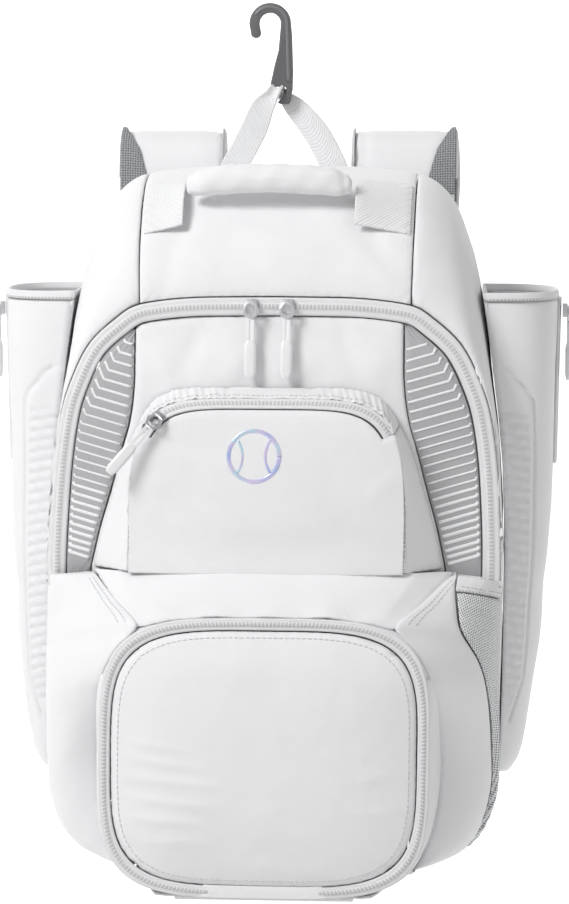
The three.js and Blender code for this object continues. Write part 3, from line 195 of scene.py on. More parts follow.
def smooth(low, high, x):
    s = min(1.0, max(0.0, (x - low) / (high - low)))
    return s * s * (3 - 2 * s)


def power(value, exponent):
    return math.copysign(abs(value) ** exponent, value)


def hung(p):
    low = 1 - smooth(BODY_HEIGHT * 0.1, BODY_HEIGHT * 0.65, p[2])
    return Vector((p[0] - FOOT_SWAY * low - CROOK[0], p[1] - CROOK[1], p[2] - CROOK[2])) / 1000


def outline_point(way, x_column, z_column):
    x = math.copysign(read_row(OUTLINE, "way", x_column, abs(way)) * BODY_HALF_WIDTH, way)
    return x, BASE_LIFT + read_row(OUTLINE, "way", z_column, abs(way)) * BODY_HEIGHT


def gusset(way, across):
    full_x, full_z = outline_point(way, "x", "z")
    full_y = -MAIN_DEPTH * FULLEST_SHARE
    if across < BACK_SHARE:
        turn = across / BACK_SHARE * math.pi / 2
        back_x, back_z = outline_point(way, "back_x", "back_z")
        share = math.sin(turn)
        return Vector((mix(back_x, full_x, share), full_y * (1 - math.cos(turn)), mix(back_z, full_z, share)))
    turn = (across - BACK_SHARE) / (1 - BACK_SHARE) * math.pi / 2
    front_x, front_z = outline_point(way, "front_x", "front_z")
    share = max(0.0, math.cos(turn)) ** SHOULDER_FULLNESS
    y = mix(full_y, -MAIN_DEPTH, math.sin(turn))
    return Vector((mix(front_x, full_x, share), y, mix(front_z, full_z, share)))


def seam_point(way, inset, x_column, z_column):
    size = abs(way)
    before = outline_point(max(0.0, size - 1e-3), x_column, z_column)
    after = outline_point(min(1.0, size + 1e-3), x_column, z_column)
    run_x, run_z = abs(after[0]) - abs(before[0]), after[1] - before[1]
    length = math.hypot(run_x, run_z)
    x, z = outline_point(size, x_column, z_column)
    return math.copysign(abs(x) - inset * run_z / length, way), z + inset * run_x / length


def front_seam(way, inset):
    return seam_point(way, inset, "front_x", "front_z")


def link(name, mesh, material, smooth_faces=True):
    data = bpy.data.meshes.new(name)
    mesh.to_mesh(data)
    mesh.free()
    piece = bpy.data.objects.new(name, data)
    piece.data.materials.append(material)
    for face in data.polygons:
        face.use_smooth = smooth_faces
    bpy.context.scene.collection.objects.link(piece)
    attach(piece, "root")
    return piece


class Pattern:
    """One cut of cloth: a surface over u, v with its sewn edges drawn in and its folds on it."""

    def __init__(self, surface, columns, rows, edges=(1, 1, 1, 1), folds=None, unrest=0.5, middle=None):
        self.columns, self.rows = columns, rows
        flat = [[Vector(surface(i / columns, j / rows)) for i in range(columns + 1)] for j in range(rows + 1)]
        across = [[0.0] * (columns + 1) for _ in range(rows + 1)]
        along = [[0.0] * (columns + 1) for _ in range(rows + 1)]
        for j in range(rows + 1):
            for i in range(columns + 1):
                if i:
                    across[j][i] = across[j][i - 1] + (flat[j][i] - flat[j][i - 1]).length
                if j:
                    along[j][i] = along[j - 1][i] + (flat[j][i] - flat[j - 1][i]).length
        inside = middle or Vector((0, -MAIN_DEPTH / 2, BODY_HEIGHT / 2))
        self.normals = []
        for j in range(rows + 1):
            row = []
            for i in range(columns + 1):
                east, west = flat[j][min(columns, i + 1)], flat[j][max(0, i - 1)]
                north, south = flat[min(rows, j + 1)][i], flat[max(0, j - 1)][i]
                normal = (east - west).cross(north - south)
                row.append(normal.normalized() if normal.length > 1e-9 else Vector((0, -1, 0)))
            self.normals.append(row)
        centre = self.normals[rows // 2][columns // 2]
        self.turned = centre.dot(flat[rows // 2][columns // 2] - inside) < 0
        self.places, self.cloth = [], []
        for j in range(rows + 1):
            row, cut = [], []
            for i in range(columns + 1):
                if self.turned:
                    self.normals[j][i].negate()
                p, normal = flat[j][i], self.normals[j][i]
                a, b = across[j][i], along[j][i]
                gaps = (a, across[j][columns] - a, b, along[rows][i] - b)
                drawn = 0.0
                for gap, edge in zip(gaps, edges):
                    if edge and gap < 24:
                        wave = math.sin(0.72 * (a + b) + 2.2 * noise.noise(p * 0.05))
                        pucker = 0.22 * wave * math.exp(-((gap / 7) ** 2))
                        drawn += edge * (0.85 * math.exp(-((gap / 2.6) ** 2)) + pucker)
                swell = unrest * (1.0 * noise.noise(p * 0.021) + 0.3 * noise.noise(p * 0.085))
                lift = swell - drawn + (folds(p, i / columns, j / rows, a, b) if folds else 0.0)
                row.append(p + normal * lift)
                cut.append((a / 1000, b / 1000))
            self.places.append(row)
            self.cloth.append(cut)

    def at(self, u, v, lift=0.0):
        """The point on the finished cloth at u, v, lifted off it, in the bag's own place."""
        x, y = min(max(u, 0), 1) * self.columns, min(max(v, 0), 1) * self.rows
        i, j = min(int(x), self.columns - 1), min(int(y), self.rows - 1)
        s, t = x - i, y - j
        low = self.places[j][i].lerp(self.places[j][i + 1], s)
        high = self.places[j + 1][i].lerp(self.places[j + 1][i + 1], s)
        normal = self.normals[j][i].lerp(self.normals[j + 1][i + 1], 0.5)
        return low.lerp(high, t) + normal * lift

    def sew(self, name, material, wall, *stands_for):
        mesh = bmesh.new()
        bmesh.ops.create_grid(mesh, x_segments=self.columns, y_segments=self.rows, size=0.5, calc_uvs=True)
        weave = mesh.loops.layers.uv.verify()
        cells = {}
        for vert in mesh.verts:
            cell = (round((vert.co.x + 0.5) * self.columns), round((vert.co.y + 0.5) * self.rows))
            cells[vert] = cell
            vert.co = hung(self.places[cell[1]][cell[0]])
        for face in mesh.faces:
            for loop in face.loops:
                i, j = cells[loop.vert]
                loop[weave].uv = self.cloth[j][i]
        first = mesh.faces[:][len(mesh.faces) // 2]
        first.normal_update()
        i, j = cells[first.verts[0]]
        if first.normal.dot(self.normals[j][i]) < 0:
            bmesh.ops.reverse_faces(mesh, faces=mesh.faces)
        piece = link(name, mesh, material)
        lining = piece.modifiers.new("lining", "SOLIDIFY")
        lining.thickness = wall / 1000
        lining.offset = -1.0
        if stands_for:
            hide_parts(*stands_for)
        return piece


def cloth_material(name, colour, roughness=0.72, grain=1500.0, depth=0.12, wear=0.02, sheen=0.15):
    """Woven cloth: a fine crossed weave in the bump, with a faint unevenness in colour."""
    material = bpy.data.materials.new(name)
    material.use_nodes = True
    nodes, links = material.node_tree.nodes, material.node_tree.links
    shader = nodes["Principled BSDF"]
    shader.inputs["Roughness"].default_value = roughness
    shader.inputs["Specular IOR Level"].default_value = 0.3
    shader.inputs["Sheen Weight"].default_value = sheen
    place = nodes.new("ShaderNodeTexCoord")
    soil = nodes.new("ShaderNodeTexNoise")
    soil.inputs["Scale"].default_value = 28.0
    soil.inputs["Detail"].default_value = 5.0
    links.new(place.outputs["Object"], soil.inputs["Vector"])
    tint = nodes.new("ShaderNodeValToRGB")
    tint.color_ramp.elements[0].position = 0.3
    tint.color_ramp.elements[1].position = 0.7
    tint.color_ramp.elements[0].color = (*[c * (1 - wear) for c in colour], 1.0)
    tint.color_ramp.elements[1].color = (*colour, 1.0)
    links.new(soil.outputs["Fac"], tint.inputs["Fac"])
    links.new(tint.outputs["Color"], shader.inputs["Base Color"])
    threads = []
    for direction in ("X", "Y"):
        thread = nodes.new("ShaderNodeTexWave")
        thread.wave_type = "BANDS"
        thread.bands_direction = direction
        thread.inputs["Scale"].default_value = grain / 6.283
        thread.inputs["Distortion"].default_value = 0.6
        thread.inputs["Detail"].default_value = 1.0
        links.new(place.outputs["UV"], thread.inputs["Vector"])
        threads.append(thread)
    crossing = nodes.new("ShaderNodeMath")
    crossing.operation = "MAXIMUM"
    links.new(threads[0].outputs["Fac"], crossing.inputs[0])
    links.new(threads[1].outputs["Fac"], crossing.inputs[1])
    fuzz = nodes.new("ShaderNodeTexNoise")
    fuzz.inputs["Scale"].default_value = 420.0
    fuzz.inputs["Detail"].default_value = 3.0
    links.new(place.outputs["Object"], fuzz.inputs["Vector"])
    height = nodes.new("ShaderNodeMath")
    height.operation = "MULTIPLY_ADD"
    height.inputs[1].default_value = 0.6
    links.new(crossing.outputs["Value"], height.inputs[0])
    links.new(fuzz.outputs["Fac"], height.inputs[2])
    bump = nodes.new("ShaderNodeBump")
    bump.inputs["Strength"].default_value = depth
    bump.inputs["Distance"].default_value = 0.0006
    links.new(height.outputs["Value"], bump.inputs["Height"])
    links.new(bump.outputs["Normal"], shader.inputs["Normal"])
    return material


white_cloth = cloth_material("white_coated_cloth", (0.8, 0.8, 0.81))
dark_lining = cloth_material("grey_lining", (0.42, 0.42, 0.43), roughness=0.85, wear=0.05)


def crease(p, x0, z0, x1, z1, width):
    """1 on the line from x0, z0 to x1, z1 of the front view, falling off over width."""
    run_x, run_z = x1 - x0, z1 - z0
    share = ((p.x - x0) * run_x + (p.z - z0) * run_z) / (run_x * run_x + run_z * run_z)
    held = min(1.0, max(0.0, share))
    gap = math.hypot(p.x - x0 - held * run_x, p.z - z0 - held * run_z)
    return math.exp(-((gap / width) ** 2)) * (0.35 + 0.65 * math.sin(math.pi * held))


def creases(table):
    """A cut's folds, from a table with a row for each."""
    def folds(p, u, v, a, b):
        return sum(height * crease(p, x0, z0, x1, z1, width) for x0, z0, x1, z1, width, height in table)
    return folds


TOP_FOLDS = (
    # x0, z0, x1, z1, width, height
    (-62, 492, -88, 430, 9, -2.2),
    (54, 492, 84, 440, 9, -2.4),
    (-40, 486, 40, 486, 11, -1.6),
    (-30, 470, 20, 452, 16, 1.2),
    (62, 470, 92, 424, 8, 1.4),
    (-70, 470, -92, 428, 8, 1.2),
)


top_cut = Pattern(
    lambda u, v: gusset((1 - (1 - TOP_SEAM_WAY) * abs(2 * u - 1)) * (-1 if u < 0.5 else 1), v),
    90, 110, edges=(1, 1, 0.6, 0.8), folds=creases(TOP_FOLDS), unrest=0.9,
)
top_cut.sew("top_cloth", white_cloth, 1.6, "top_panel")


def ways_between(start, end):
    ways = [start]
    for i in range(1, len(OUTLINE["way"])):
        for way in ((OUTLINE["way"][i - 1] + OUTLINE["way"][i]) / 2, OUTLINE["way"][i]):
            if start + 0.01 < way < end - 0.01:
                ways.append(way)
    return ways + [end]


def station_at(stations, share):
    place = share * (len(stations) - 1)
    i = min(len(stations) - 2, int(place))
    return mix(stations[i], stations[i + 1], place - i)


BASE_SEAM_WAY = 0.14
HIP_SHARE = 0.72
low_ways = ways_between(BASE_SEAM_WAY, HIP_TOP_WAY - 0.014)
side_ways = low_ways + ways_between(HIP_TOP_WAY - 0.008, TOP_SEAM_WAY - 0.0012)
side_ends = [HIP_SHARE if i < len(low_ways) else 1.0 for i in range(len(side_ways))]


def side_folds(p, u, v, a, b):
    shoulder = 1.6 * math.exp(-(((p.z - 452) / 34) ** 2)) * math.sin(p.y * 0.055 + 1.0)
    return shoulder * smooth(0.1, 0.4, u)


side_cuts = {}
for word, side in (("left", -1), ("right", 1)):
    side_cuts[word] = Pattern(
        lambda u, v, side=side: gusset(side * station_at(side_ways, v), u * station_at(side_ends, v)),
        54, 150, folds=side_folds, unrest=0.9,
    )
    side_cuts[word].sew(f"side_cloth_{word}", white_cloth, 1.6, f"side_panel_{word}")

# Back panel: a foam pad under cloth, quilted in two long channels. Its cloth is blown up over the
# foam by a cloth simulation, held by a cap, and the sewn channels are drawn in afterwards.
BACK_PAD_WALL = 8


def inflate(name, source, voxel, pressure, cap, draw_in=0.0):
    """A copy of a padded solid, swelled like cloth over foam and held within cap of where it was."""
    data = solids[source].data.copy()
    data.name = name
    mesh = bmesh.new()
    mesh.from_mesh(data)
    bmesh.ops.remove_doubles(mesh, verts=mesh.verts, dist=2e-5)
    mesh.to_mesh(data)
    mesh.free()
    pad = bpy.data.objects.new(name, data)
    bpy.context.scene.collection.objects.link(pad)
    remesh = pad.modifiers.new("remesh", "REMESH")
    remesh.mode = "VOXEL"
    remesh.voxel_size = voxel / 1000
    settled = bpy.data.meshes.new_from_object(pad.evaluated_get(bpy.context.evaluated_depsgraph_get()))
    pad.modifiers.remove(remesh)
    pad.data = settled
    mesh = bmesh.new()
    mesh.from_mesh(settled)
    if draw_in:
        for vert in mesh.verts:
            vert.normal_update()
        shrunk = [(vert, vert.co - vert.normal * draw_in / 1000) for vert in mesh.verts]
        for vert, co in shrunk:
            vert.co = co
    mesh.to_mesh(settled)
    mesh.free()
    rest = [vert.co.copy() for vert in settled.vertices]
    cloth = pad.modifiers.new("cloth", "CLOTH")
    cloth.settings.quality = 4
    cloth.settings.mass = 0.2
    cloth.settings.tension_stiffness = 12
    cloth.settings.compression_stiffness = 12
    cloth.settings.use_pressure = True
    cloth.settings.uniform_pressure_force = pressure
    cloth.settings.effector_weights.gravity = 0.0
    for step in range(1, 21):
        bpy.context.scene.frame_set(step)
    blown = bpy.data.meshes.new_from_object(pad.evaluated_get(bpy.context.evaluated_depsgraph_get()))
    for vert, start in zip(blown.vertices, rest):
        move = vert.co - start
        if move.length > cap / 1000:
            vert.co = start + move.normalized() * cap / 1000
    pad.modifiers.remove(cloth)
    pad.data = blown
    bpy.context.scene.frame_set(1)
    return pad


def finish_pad(pad, material, stands_for, shape=None):
    """Draws the sewn channels into a settled pad, smooths it once and dresses it."""
    mesh = bmesh.new()
    mesh.from_mesh(pad.data)
    bmesh.ops.smooth_vert(mesh, verts=mesh.verts, factor=0.5, use_axis_x=True, use_axis_y=True, use_axis_z=True)
    mesh.normal_update()
    if shape:
        moved = [(vert, vert.co + vert.normal * shape(vert.co * 1000) / 1000) for vert in mesh.verts]
        for vert, co in moved:
            vert.co = co
    mesh.to_mesh(pad.data)
    mesh.free()
    for face in pad.data.polygons:
        face.use_smooth = True
    pad.data.materials.clear()
    pad.data.materials.append(material)
    finer = pad.modifiers.new("finer", "SUBSURF")
    finer.levels = finer.render_levels = 1
    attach(pad, "root")
    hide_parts(stands_for)
    return pad


def quilting(p):
    """Two upright channels with cross seams, in the hanging frame, on the face to the wearer."""
    middle = 8.6
    gap = min(abs(abs(p.x - middle) - 46), abs(p.z + 300) if abs(p.x - middle) > 46 else 99)
    face = smooth(1.0, 4.5, p.y)
    return -2.4 * math.exp(-((gap / 5) ** 2)) * face


pad_cloth = cloth_material("white_pad_cloth", (0.8, 0.8, 0.81), grain=900.0, depth=0.18)
finish_pad(inflate("back_pad", "back_panel", 6.0, 3.0, 1.4, 0.3), pad_cloth, "back_panel", quilting)

# Piping: a thin cord in a strip of cloth, sewn into the back seam all the way round.
PIPING_WIDTH = 5.0


def backward(place):
    return Vector((0.0, 1.0, 0.0))


def sweep(mesh, places, widths, height, facing, sides=6):
    """A low half-round bead along places, widths across and height over the cloth."""
    rings = []
    for k, place in enumerate(places):
        run = (places[min(k + 1, len(places) - 1)] - places[max(k - 1, 0)]).normalized()
        out = facing(place)
        across = run.cross(out).normalized()
        ring = []
        for side in range(sides + 1):
            turn = math.pi * side / sides
            offset = across * math.cos(turn) * widths[k] / 2 + out * (math.sin(turn) * height - 0.25)
            ring.append(mesh.verts.new(hung(place + offset)))
        rings.append(ring)
    for first, second in zip(rings, rings[1:]):
        for side in range(sides):
            mesh.faces.new((first[side], first[side + 1], second[side + 1], second[side]))
        mesh.faces.new((first[sides], first[0], second[0], second[sides]))
    mesh.faces.new(list(reversed(rings[0])))
    mesh.faces.new(rings[-1])


piping_cloth = cloth_material("white_piping", (0.72, 0.72, 0.73), grain=1200.0)
piping = bmesh.new()
piping_ways = [k / 120 for k in range(12, 121)]
piping_line = []
for way in [-w for w in piping_ways] + [w for w in reversed(piping_ways)]:
    x, z = seam_point(way, 0.4, "back_x", "back_z")
    piping_line.append(Vector((x, -0.6, z)))
sweep(piping, piping_line, [PIPING_WIDTH] * len(piping_line), 1.8, backward)
link("back_piping", piping, piping_cloth)

# Base: a cloth panel with a stiff moulded plate under it, with rounded edges and low grip ribs.
base_shade = cloth_material("white_base_cloth", (0.76, 0.76, 0.77))


def edged_copy(name, source, material, bevel, segments=2, limit=0.6):
    """The solid itself with its edges rounded, for moulded and metal pieces."""
    mesh = bmesh.new()
    mesh.from_mesh(solids[source].data)
    bmesh.ops.remove_doubles(mesh, verts=mesh.verts, dist=2e-5)
    bmesh.ops.dissolve_limit(mesh, angle_limit=0.02, verts=mesh.verts, edges=mesh.edges)
    sharp = [edge for edge in mesh.edges if len(edge.link_faces) == 2 and edge.calc_face_angle() > limit]
    bmesh.ops.bevel(
        mesh, geom=sharp, offset=bevel / 1000, segments=segments, affect="EDGES", profile=0.5, material=-1,
        clamp_overlap=True,
    )
    piece = link(name, mesh, material)
    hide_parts(source)
    return piece


def moulded_material(name, colour, roughness, grain=0.12):
    """Moulded plastic with a fine sparked grain and a slightly uneven gloss."""
    material = bpy.data.materials.new(name)
    material.use_nodes = True
    nodes, links = material.node_tree.nodes, material.node_tree.links
    shader = nodes["Principled BSDF"]
    place = nodes.new("ShaderNodeTexCoord")
    grit = nodes.new("ShaderNodeTexNoise")
    grit.inputs["Scale"].default_value = 900.0
    grit.inputs["Detail"].default_value = 4.0
    links.new(place.outputs["Object"], grit.inputs["Vector"])
    tint = nodes.new("ShaderNodeValToRGB")
    tint.color_ramp.elements[0].color = (*[c * 0.92 for c in colour], 1.0)
    tint.color_ramp.elements[1].color = (*colour, 1.0)
    links.new(grit.outputs["Fac"], tint.inputs["Fac"])
    links.new(tint.outputs["Color"], shader.inputs["Base Color"])
    gloss = nodes.new("ShaderNodeMapRange")
    gloss.inputs["To Min"].default_value = roughness - 0.06
    gloss.inputs["To Max"].default_value = roughness + 0.08
    links.new(grit.outputs["Fac"], gloss.inputs["Value"])
    links.new(gloss.outputs["Result"], shader.inputs["Roughness"])
    bump = nodes.new("ShaderNodeBump")
    bump.inputs["Strength"].default_value = grain
    bump.inputs["Distance"].default_value = 0.0003
    links.new(grit.outputs["Fac"], bump.inputs["Height"])
    links.new(bump.outputs["Normal"], shader.inputs["Normal"])
    return material


white_plastic = moulded_material("white_moulding", (0.82, 0.82, 0.83), 0.42)
edged_copy("base_moulding", "base_plate", white_plastic, 1.0)
LOWER_HALF_WIDTH = 115
LOWER_DEPTH = 78


def base_surface(u, v):
    y = mix(-(LOOSE_SEAM + BACK_PAD_WALL), -(MAIN_DEPTH + LOWER_DEPTH - 3 - LOOSE_SEAM), v)
    forward = max(0.0, (-y - MAIN_DEPTH) / LOWER_DEPTH)
    half = read_row(OUTLINE, "way", "x", BASE_SEAM_WAY) * BODY_HALF_WIDTH - LOOSE_SEAM
    return Vector(((2 * u - 1) * mix(half, LOWER_HALF_WIDTH * 0.66, forward), y, BASE_LIFT))


base_cut = Pattern(base_surface, 40, 44, edges=(1, 1, 1, 1), unrest=0.0)
base_cut.sew("base_cloth", base_shade, 1.6, "base_panel")

# Main zip: woven tapes with a nylon coil between them, sewn round the arch of the front door.
# The coil is modelled tooth by tooth along the seam.
MAIN_ZIP_WIDTH = 13
MAIN_ZIP_INSET = LOOSE_SEAM + MAIN_ZIP_WIDTH
ZIP_PROUD = 1.2
TUCK_WAY = 0.022
TUCK = 7.0
TOOTH_PITCH = 1.7


def zip_material(name, colour):
    """Zip tape: a twill ground, with painted shade between the coil's loops along the middle."""
    material = cloth_material(name, colour, roughness=0.6, grain=2400.0, depth=0.25, wear=0.04)
    nodes, links = material.node_tree.nodes, material.node_tree.links
    place = next(node for node in nodes if node.type == "TEX_COORD")
    ground = next(node for node in nodes if node.type == "VALTORGB")
    split = nodes.new("ShaderNodeSeparateXYZ")
    links.new(place.outputs["UV"], split.inputs["Vector"])
    off = nodes.new("ShaderNodeMath")
    off.operation = "ABSOLUTE"
    links.new(split.outputs["Y"], off.inputs[0])
    band = nodes.new("ShaderNodeMapRange")
    band.inputs["From Min"].default_value = 0.0019
    band.inputs["From Max"].default_value = 0.0015
    links.new(off.outputs["Value"], band.inputs["Value"])
    phase = nodes.new("ShaderNodeMath")
    phase.operation = "MULTIPLY"
    phase.inputs[1].default_value = 2 * math.pi / (TOOTH_PITCH * 1.6 / 1000)
    links.new(split.outputs["X"], phase.inputs[0])
    wave = nodes.new("ShaderNodeMath")
    wave.operation = "SINE"
    links.new(phase.outputs["Value"], wave.inputs[0])
    tooth = nodes.new("ShaderNodeMapRange")
    tooth.inputs["From Min"].default_value = -0.2
    tooth.inputs["From Max"].default_value = 0.6
    tooth.inputs["To Min"].default_value = 0.55
    tooth.inputs["To Max"].default_value = 0.05
    links.new(wave.outputs["Value"], tooth.inputs["Value"])
    # Painted shade: across the coil's middle band the colour is darkened toward half the tape's colour between the
    # loops, once every 1.6 teeth.
    painted_coil_shade = nodes.new("ShaderNodeMath")
    painted_coil_shade.operation = "MULTIPLY"
    links.new(band.outputs["Result"], painted_coil_shade.inputs[0])
    links.new(tooth.outputs["Result"], painted_coil_shade.inputs[1])
    blend = nodes.new("ShaderNodeMix")
    blend.data_type = "RGBA"
    blend.inputs[7].default_value = (*[c * 0.5 for c in colour], 1.0)
    links.new(painted_coil_shade.outputs["Value"], blend.inputs[0])
    links.new(ground.outputs["Color"], blend.inputs[6])
    links.new(blend.outputs[2], nodes["Principled BSDF"].inputs["Base Color"])
    return material


def zip_profile(share, along):
    """Height in mm over the tape across a zip; share runs from 0 to 1 over its width."""
    off = abs(share - 0.5)
    tape = -0.9 * math.exp(-((min(share, 1 - share) / 0.07) ** 2))
    ridge = 1.25 * math.exp(-((off / 0.13) ** 4))
    tooth = 0.5 + 0.5 * math.cos(2 * math.pi * (along / TOOTH_PITCH + (0.5 if share > 0.5 else 0.0)))
    groove = -0.35 * math.exp(-((off / 0.02) ** 2))
    sewn = -0.3 * math.exp(-(((off - 0.26) / 0.03) ** 2))
    return tape + ridge * (0.62 + 0.38 * tooth) + groove + sewn


def sew_zip(name, outer, inner, facing, material, stands_for, pieces=180, across=12):
    """A zip between two lines, each a function of a share from 0 to 1 along the seam."""
    coarse = [(Vector(outer(i / pieces)), Vector(inner(i / pieces))) for i in range(pieces + 1)]
    along = [0.0]
    for before, after in zip(coarse, coarse[1:]):
        along.append(along[-1] + ((after[0] + after[1]) / 2 - (before[0] + before[1]) / 2).length)
    steps = int(along[-1] / (TOOTH_PITCH / 3))
    mesh = bmesh.new()
    bmesh.ops.create_grid(mesh, x_segments=steps, y_segments=across, size=0.5, calc_uvs=True)
    weave = mesh.loops.layers.uv.verify()
    line = []
    k = 0
    for step in range(steps + 1):
        reached = along[-1] * step / steps
        while k < pieces - 1 and along[k + 1] < reached:
            k += 1
        share = (reached - along[k]) / max(1e-9, along[k + 1] - along[k])
        line.append((coarse[k][0].lerp(coarse[k + 1][0], share), coarse[k][1].lerp(coarse[k + 1][1], share), reached))
    where = {}
    for vert in mesh.verts:
        step, row = round((vert.co.x + 0.5) * steps), round((vert.co.y + 0.5) * across)
        start, end, reached = line[step]
        share = row / across
        place = start.lerp(end, share)
        width = (end - start).length
        where[vert] = (reached / 1000, (share - 0.5) * width / 1000)
        vert.co = hung(place + facing(place) * zip_profile(share, reached) * min(1.0, width / 9))
    for face in mesh.faces:
        for loop in face.loops:
            loop[weave].uv = where[loop.vert]
    probe = mesh.faces[:][len(mesh.faces) // 2]
    probe.normal_update()
    if probe.normal.dot(facing(line[steps // 2][0])) < 0:
        bmesh.ops.reverse_faces(mesh, faces=mesh.faces)
    piece = link(name, mesh, material)
    tape = piece.modifiers.new("tape", "SOLIDIFY")
    tape.thickness = 0.0016
    tape.offset = -1.0
    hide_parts(stands_for)
    return piece


white_tape = zip_material("white_zip_tape", (0.76, 0.76, 0.77))
arch_ways = ways_between(ZIP_END_WAY - TUCK_WAY, 1.0)
arch_stations = [way - 1 for way in arch_ways] + [1 - way for way in reversed(arch_ways[:-1])]


def arch_way(u):
    off = station_at(arch_stations, u)
    return (-1 if off < 0 else 1) * (1 - abs(off))


def arch_line(inset):
    def line(u):
        x, z = front_seam(arch_way(u), inset)
        return Vector((x, -MAIN_DEPTH - ZIP_PROUD, z))
    return line


def forward(place):
    return Vector((0.0, -1.0, 0.0))


sew_zip("main_zip_tape", arch_line(LOOSE_SEAM), arch_line(MAIN_ZIP_INSET), forward, white_tape, "main_zip", 240)

# Front door: a padded white panel in the middle with a ribbed grey panel on each side of it.
# It stands proud in its middle and lies back against the zip at its head.
DOOR_CROWN = 9
DOOR_FADE = 45
DOOR_OFF_CENTRE = -4
DOOR_CORNER_WAY = 0.903
UPPER_FLOOR = BASE_LIFT + 197 + 6 + 25
COLUMN = {
    "up": (0.0, 0.17, 0.29, 0.5, 0.61, 0.72, 0.82, 1.0),
    "half": (0.77, 0.73, 0.694, 0.635, 0.603, 0.586, 0.58, 0.58),
}
door_corner_z = front_seam(DOOR_CORNER_WAY, MAIN_ZIP_INSET + LOOSE_SEAM)[1]
door_head_z = front_seam(1.0, MAIN_ZIP_INSET)[1]


def door_y(x, z):
    fade = smooth(0, DOOR_FADE, door_head_z - z)
    return -(MAIN_DEPTH + DOOR_CROWN * fade * (1 - (x / BODY_HALF_WIDTH) ** 2))


def column_half(z):
    up = (z - UPPER_FLOOR) / (door_corner_z - UPPER_FLOOR)
    return read_row(COLUMN, "up", "half", up) * BODY_HALF_WIDTH


def arch_inner_way(x):
    low, high = DOOR_CORNER_WAY - 0.05, 1.0
    for _ in range(24):
        way = (low + high) / 2
        if front_seam(way, MAIN_ZIP_INSET + LOOSE_SEAM)[0] > abs(x):
            low = way
        else:
            high = way
    return low


door_tops = {}


def door_surface(u, v):
    side = 2 * u - 1
    if u not in door_tops:
        top_x = DOOR_OFF_CENTRE + side * column_half(door_corner_z)
        door_tops[u] = front_seam(arch_inner_way(top_x), MAIN_ZIP_INSET + LOOSE_SEAM)[1]
    x = DOOR_OFF_CENTRE + side * (column_half(mix(UPPER_FLOOR - TUCK, door_corner_z, v)) - SEAM_GAP)
    z = mix(UPPER_FLOOR - TUCK, door_tops[u], v)
    return Vector((x, door_y(x, z), z))


DOOR_FOLDS = (
    # x0, z0, x1, z1, width, height
    (-52, 408, -66, 372, 7, -1.2),
    (46, 408, 60, 366, 8, -1.2),
    (-30, 366, -8, 372, 9, -1.6),
    (12, 366, 40, 372, 9, -1.4),
    (-4, 410, -4, 372, 13, -1.0),
    (-88, 398, -74, 366, 8, 0.9),
    (80, 398, 72, 366, 9, 0.9),
)


door_cut = Pattern(door_surface, 90, 90, edges=(1, 1, 0, 1), folds=creases(DOOR_FOLDS), unrest=0.8)
door_cut.sew("door_cloth", white_cloth, 1.6, "door_panel")

# Ribbed side panels of the door: grey coated cloth with raised white ribs, each with one bend.
grey_cloth = cloth_material("grey_ribbed_cloth", (0.43, 0.43, 0.44), roughness=0.6, wear=0.04)
rib_white = moulded_material("white_rib_print", (0.86, 0.86, 0.87), 0.5)
RIB_BENDS = {
    "rib": (0, 1, 2, 3, 4, 5, 6, 7, 8, 9, 10, 11, 12, 13, 14, 15, 16, 17, 18, 19, 20, 21, 22, 23, 24, 25),
    "x": (109, 113, 117, 121, 124.5, 128, 131, 134.5, 138, 141, 144, 146.5, 149, 151, 153, 154.5, 156, 156.8,
          157.6, 158.3, 159, 159.5, 160, 160.4, 160.7, 161),
    "z": (394, 387, 380.5, 374, 367.5, 361, 354.5, 348, 341.5, 335, 328.5, 322, 315.5, 309, 302.5, 296, 290,
          284, 278, 272.5, 267, 261.5, 256, 250.5, 245.5, 240.5),
}
RIB_RISE = 0.28
RIB_STEEP = 2.4
chevron_tops = {side: arch_inner_way(side * DOOR_OFF_CENTRE + column_half(door_corner_z) + LOOSE_SEAM * 2)
                for side in (-1, 1)}


def chevron_surface(side):
    top_way = chevron_tops[side]
    top = front_seam(top_way, MAIN_ZIP_INSET + LOOSE_SEAM)[1]

    def surface(u, v):
        outer_x, outer_z = front_seam(mix(ZIP_END_WAY - TUCK_WAY, top_way, v), MAIN_ZIP_INSET + LOOSE_SEAM)
        z = mix(UPPER_FLOOR - TUCK, top, v)
        inner_x = side * DOOR_OFF_CENTRE + column_half(z) + LOOSE_SEAM
        x = mix(inner_x, max(outer_x, inner_x + 1), u)
        high = mix(z, outer_z, u)
        return Vector((side * x, door_y(x, high), high))
    return surface


def arch_edge_x(z):
    """How far out the arch's inner edge is at a height, from the middle of the bag."""
    low, high = ZIP_END_WAY, DOOR_CORNER_WAY + 0.06
    for _ in range(24):
        way = (low + high) / 2
        if front_seam(way, MAIN_ZIP_INSET + LOOSE_SEAM)[1] < z:
            low = way
        else:
            high = way
    return front_seam(low, MAIN_ZIP_INSET + LOOSE_SEAM)[0]


